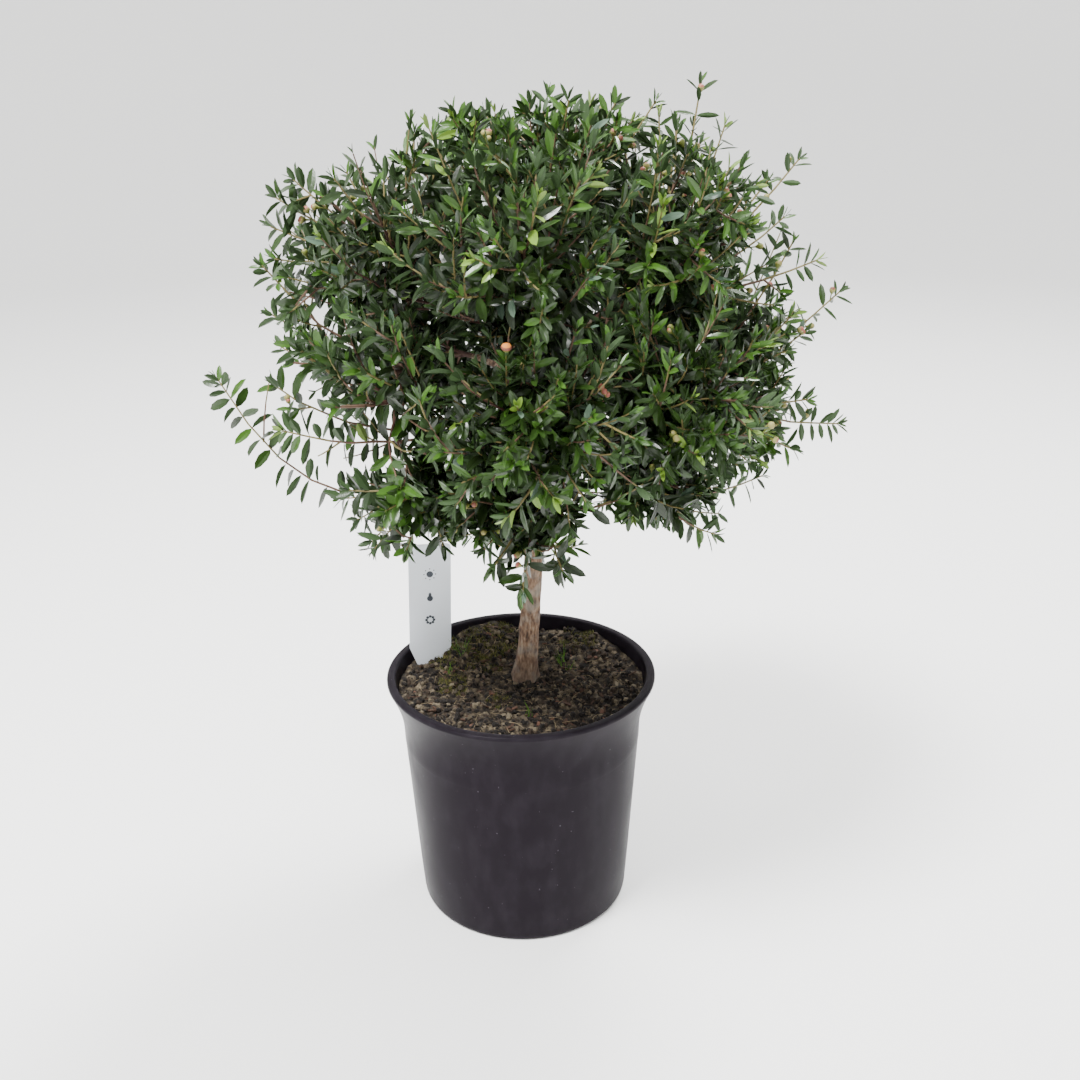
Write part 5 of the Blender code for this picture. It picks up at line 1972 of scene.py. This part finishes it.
    def build_buds(self) -> None:
        """Builds the buds, one to three at each budding place, and the spent flower in front."""
        rng, pattern, places, finishes = self.rng, self.bud_pattern(), [], []
        plain = (Petal.CALYX, Petal.CREAM, Petal.CREAM)
        pink = (Petal.CALYX, Petal.CREAM, Petal.PINK)
        green = (Petal.CALYX, Petal.CALYX, Petal.CREAM)
        russet = (Petal.CALYX, Petal.CREAM, Petal.RUSSET)
        for shoot in self.shoots:
            way = shoot.limb.line[-1] - self.stem.hub
            azimuth = math.degrees(math.atan2(way.x, -way.y)) % 360
            sunny = 35 < azimuth < 135 and way.z > -0.02
            if rng.random() < self.bud_chance[not sunny] and way.length > 0.12:
                self.bud_places.append(shoot.limb.at(rng.uniform(0.75, 1.0)))
        for spot, axis in self.bud_places:
            for _ in range(rng.choice((1, 1, 2, 2, 3))):
                out = spoke(axis, rng.uniform(0, math.tau))
                way = (axis * 0.7 + out * 0.8 + 0.3 * UP).normalized()
                size = MM * rng.uniform(*self.bud_length)
                places.append(placed(spot, *(side * size for side in (*across(way), way))))
                finishes.append(rng.choice((plain, pink, pink, green, russet)))
        nearest = min(self.shoots, key=lambda shoot: (shoot.limb.line[-1] - self.spent_flower).length)
        spot, axis = nearest.limb.at(0.99)
        wide, tall = self.spent_size
        places.append(placed(spot, *(side * wide for side in across(axis)), axis * tall))
        finishes.append((Petal.CALYX, Petal.RUSSET, Petal.STAMEN))
        gathering = Gathering()
        gathering.add(pattern, pattern.copies(places), np.array(finishes))
        finished("flower_buds", gathering.mesh("flower_buds", 50.0), PETAL_FINISHES)


# ---- Floor, light and camera


@dataclass
class Studio:
    """A round pale sweep, an even sky, two soft lamps and the camera."""

    # Where the camera stands, and how far it looks down and right in degrees and is rolled in radians
    eye: Vector = field(default_factory=lambda: Vector((0.0, -0.7515, 0.5723)))
    down: float = 21.62
    right: float = 1.11
    roll: float = -0.0118
    # Its focal length and the width it is for, in millimetres
    lens: float = 39.55
    sensor: float = 36.0
    # The sweep's flat radius, the radius of its rise, and its height
    floor: float = 3.0
    bend: float = 1.6
    wall: float = 3.2
    # The brightness of the sky, each lamp's name, place, side and watts, and the height they face
    sky: float = 1.28
    lamps: tuple[tuple[str, Size, float, float], ...] = (
        ("key", (-0.7, -0.75, 2.2), 0.6, 122.0),
        ("top", (0.7, 0.9, 2.2), 0.7, 84.0),
    )
    aim: float = 0.32

    def build(self) -> None:
        """Builds the sweep, the lights and the camera."""
        self.build_sweep()
        self.build_lights()
        self.build_camera()

    def build_sweep(self) -> None:
        """Spins a floor that rises into a round wall, far enough off to show no edge."""
        turns = [math.radians(90.0 * k / 16) for k in range(17)]
        rise = [(self.floor + self.bend * math.sin(t), self.bend * (1 - math.cos(t))) for t in turns]
        shape = spun([(0.0, 0.0), (1.0, 0.0), *rise, (self.floor + self.bend, self.wall)], 96)
        mesh = mesh_of("studio_sweep", shape, 60.0)
        mesh.materials.append(STUDIO_PAPER.material())
        sweep = added("studio_sweep", mesh)

    def build_lights(self) -> None:
        """Sets an even sky, and one broad soft lamp in front and one behind, both high above the plant."""
        world = bpy.data.worlds.new("studio_sky")
        world.use_nodes = True
        sky = world.node_tree.nodes["Background"]
        sky.inputs["Color"].default_value = linear("#ffffff")
        sky.inputs["Strength"].default_value = self.sky
        bpy.context.scene.world = world
        for name, place, side, watts in self.lamps:
            lamp = bpy.data.lights.new(name, "AREA")
            lamp.size = side
            lamp.energy = watts
            light = added(name, lamp)
            light.location = place
            toward = Vector((0.0, 0.0, self.aim)) - light.location
            light.rotation_euler = toward.to_track_quat("-Z", "Y").to_euler()

    def build_camera(self) -> None:
        """Sets the camera."""
        pitch, yaw = math.radians(self.down), math.radians(self.right)
        ahead = Vector((math.sin(yaw) * math.cos(pitch), math.cos(yaw) * math.cos(pitch), -math.sin(pitch)))
        level = Vector((math.cos(yaw), -math.sin(yaw), 0.0))
        upright = level.cross(ahead)
        right = math.cos(self.roll) * level + math.sin(self.roll) * upright
        top = math.cos(self.roll) * upright - math.sin(self.roll) * level
        optics = bpy.data.cameras.new("camera")
        optics.lens = self.lens
        optics.sensor_width = self.sensor
        optics.clip_start = 0.01
        camera = added("camera", optics)
        camera.matrix_world = placed(self.eye, right, top, -ahead)
        bpy.context.scene.camera = camera


def main() -> None:
    """Builds the pot, what fills it, the plant and the studio, and notes the sizes."""
    logging.basicConfig(level=logging.INFO, format="%(message)s")
    pot = NurseryPot()
    pot.build()
    stem = Stem()
    Compost(pot, stem.foot).build()
    PlantLabel().build()
    stem.build_trunk()
    crown = Crown(stem)
    stem.build_boughs(crown.boughs())
    crown.build()
    Studio().build()
    bpy.context.view_layer.update()


if __name__ == "__main__":
    main()
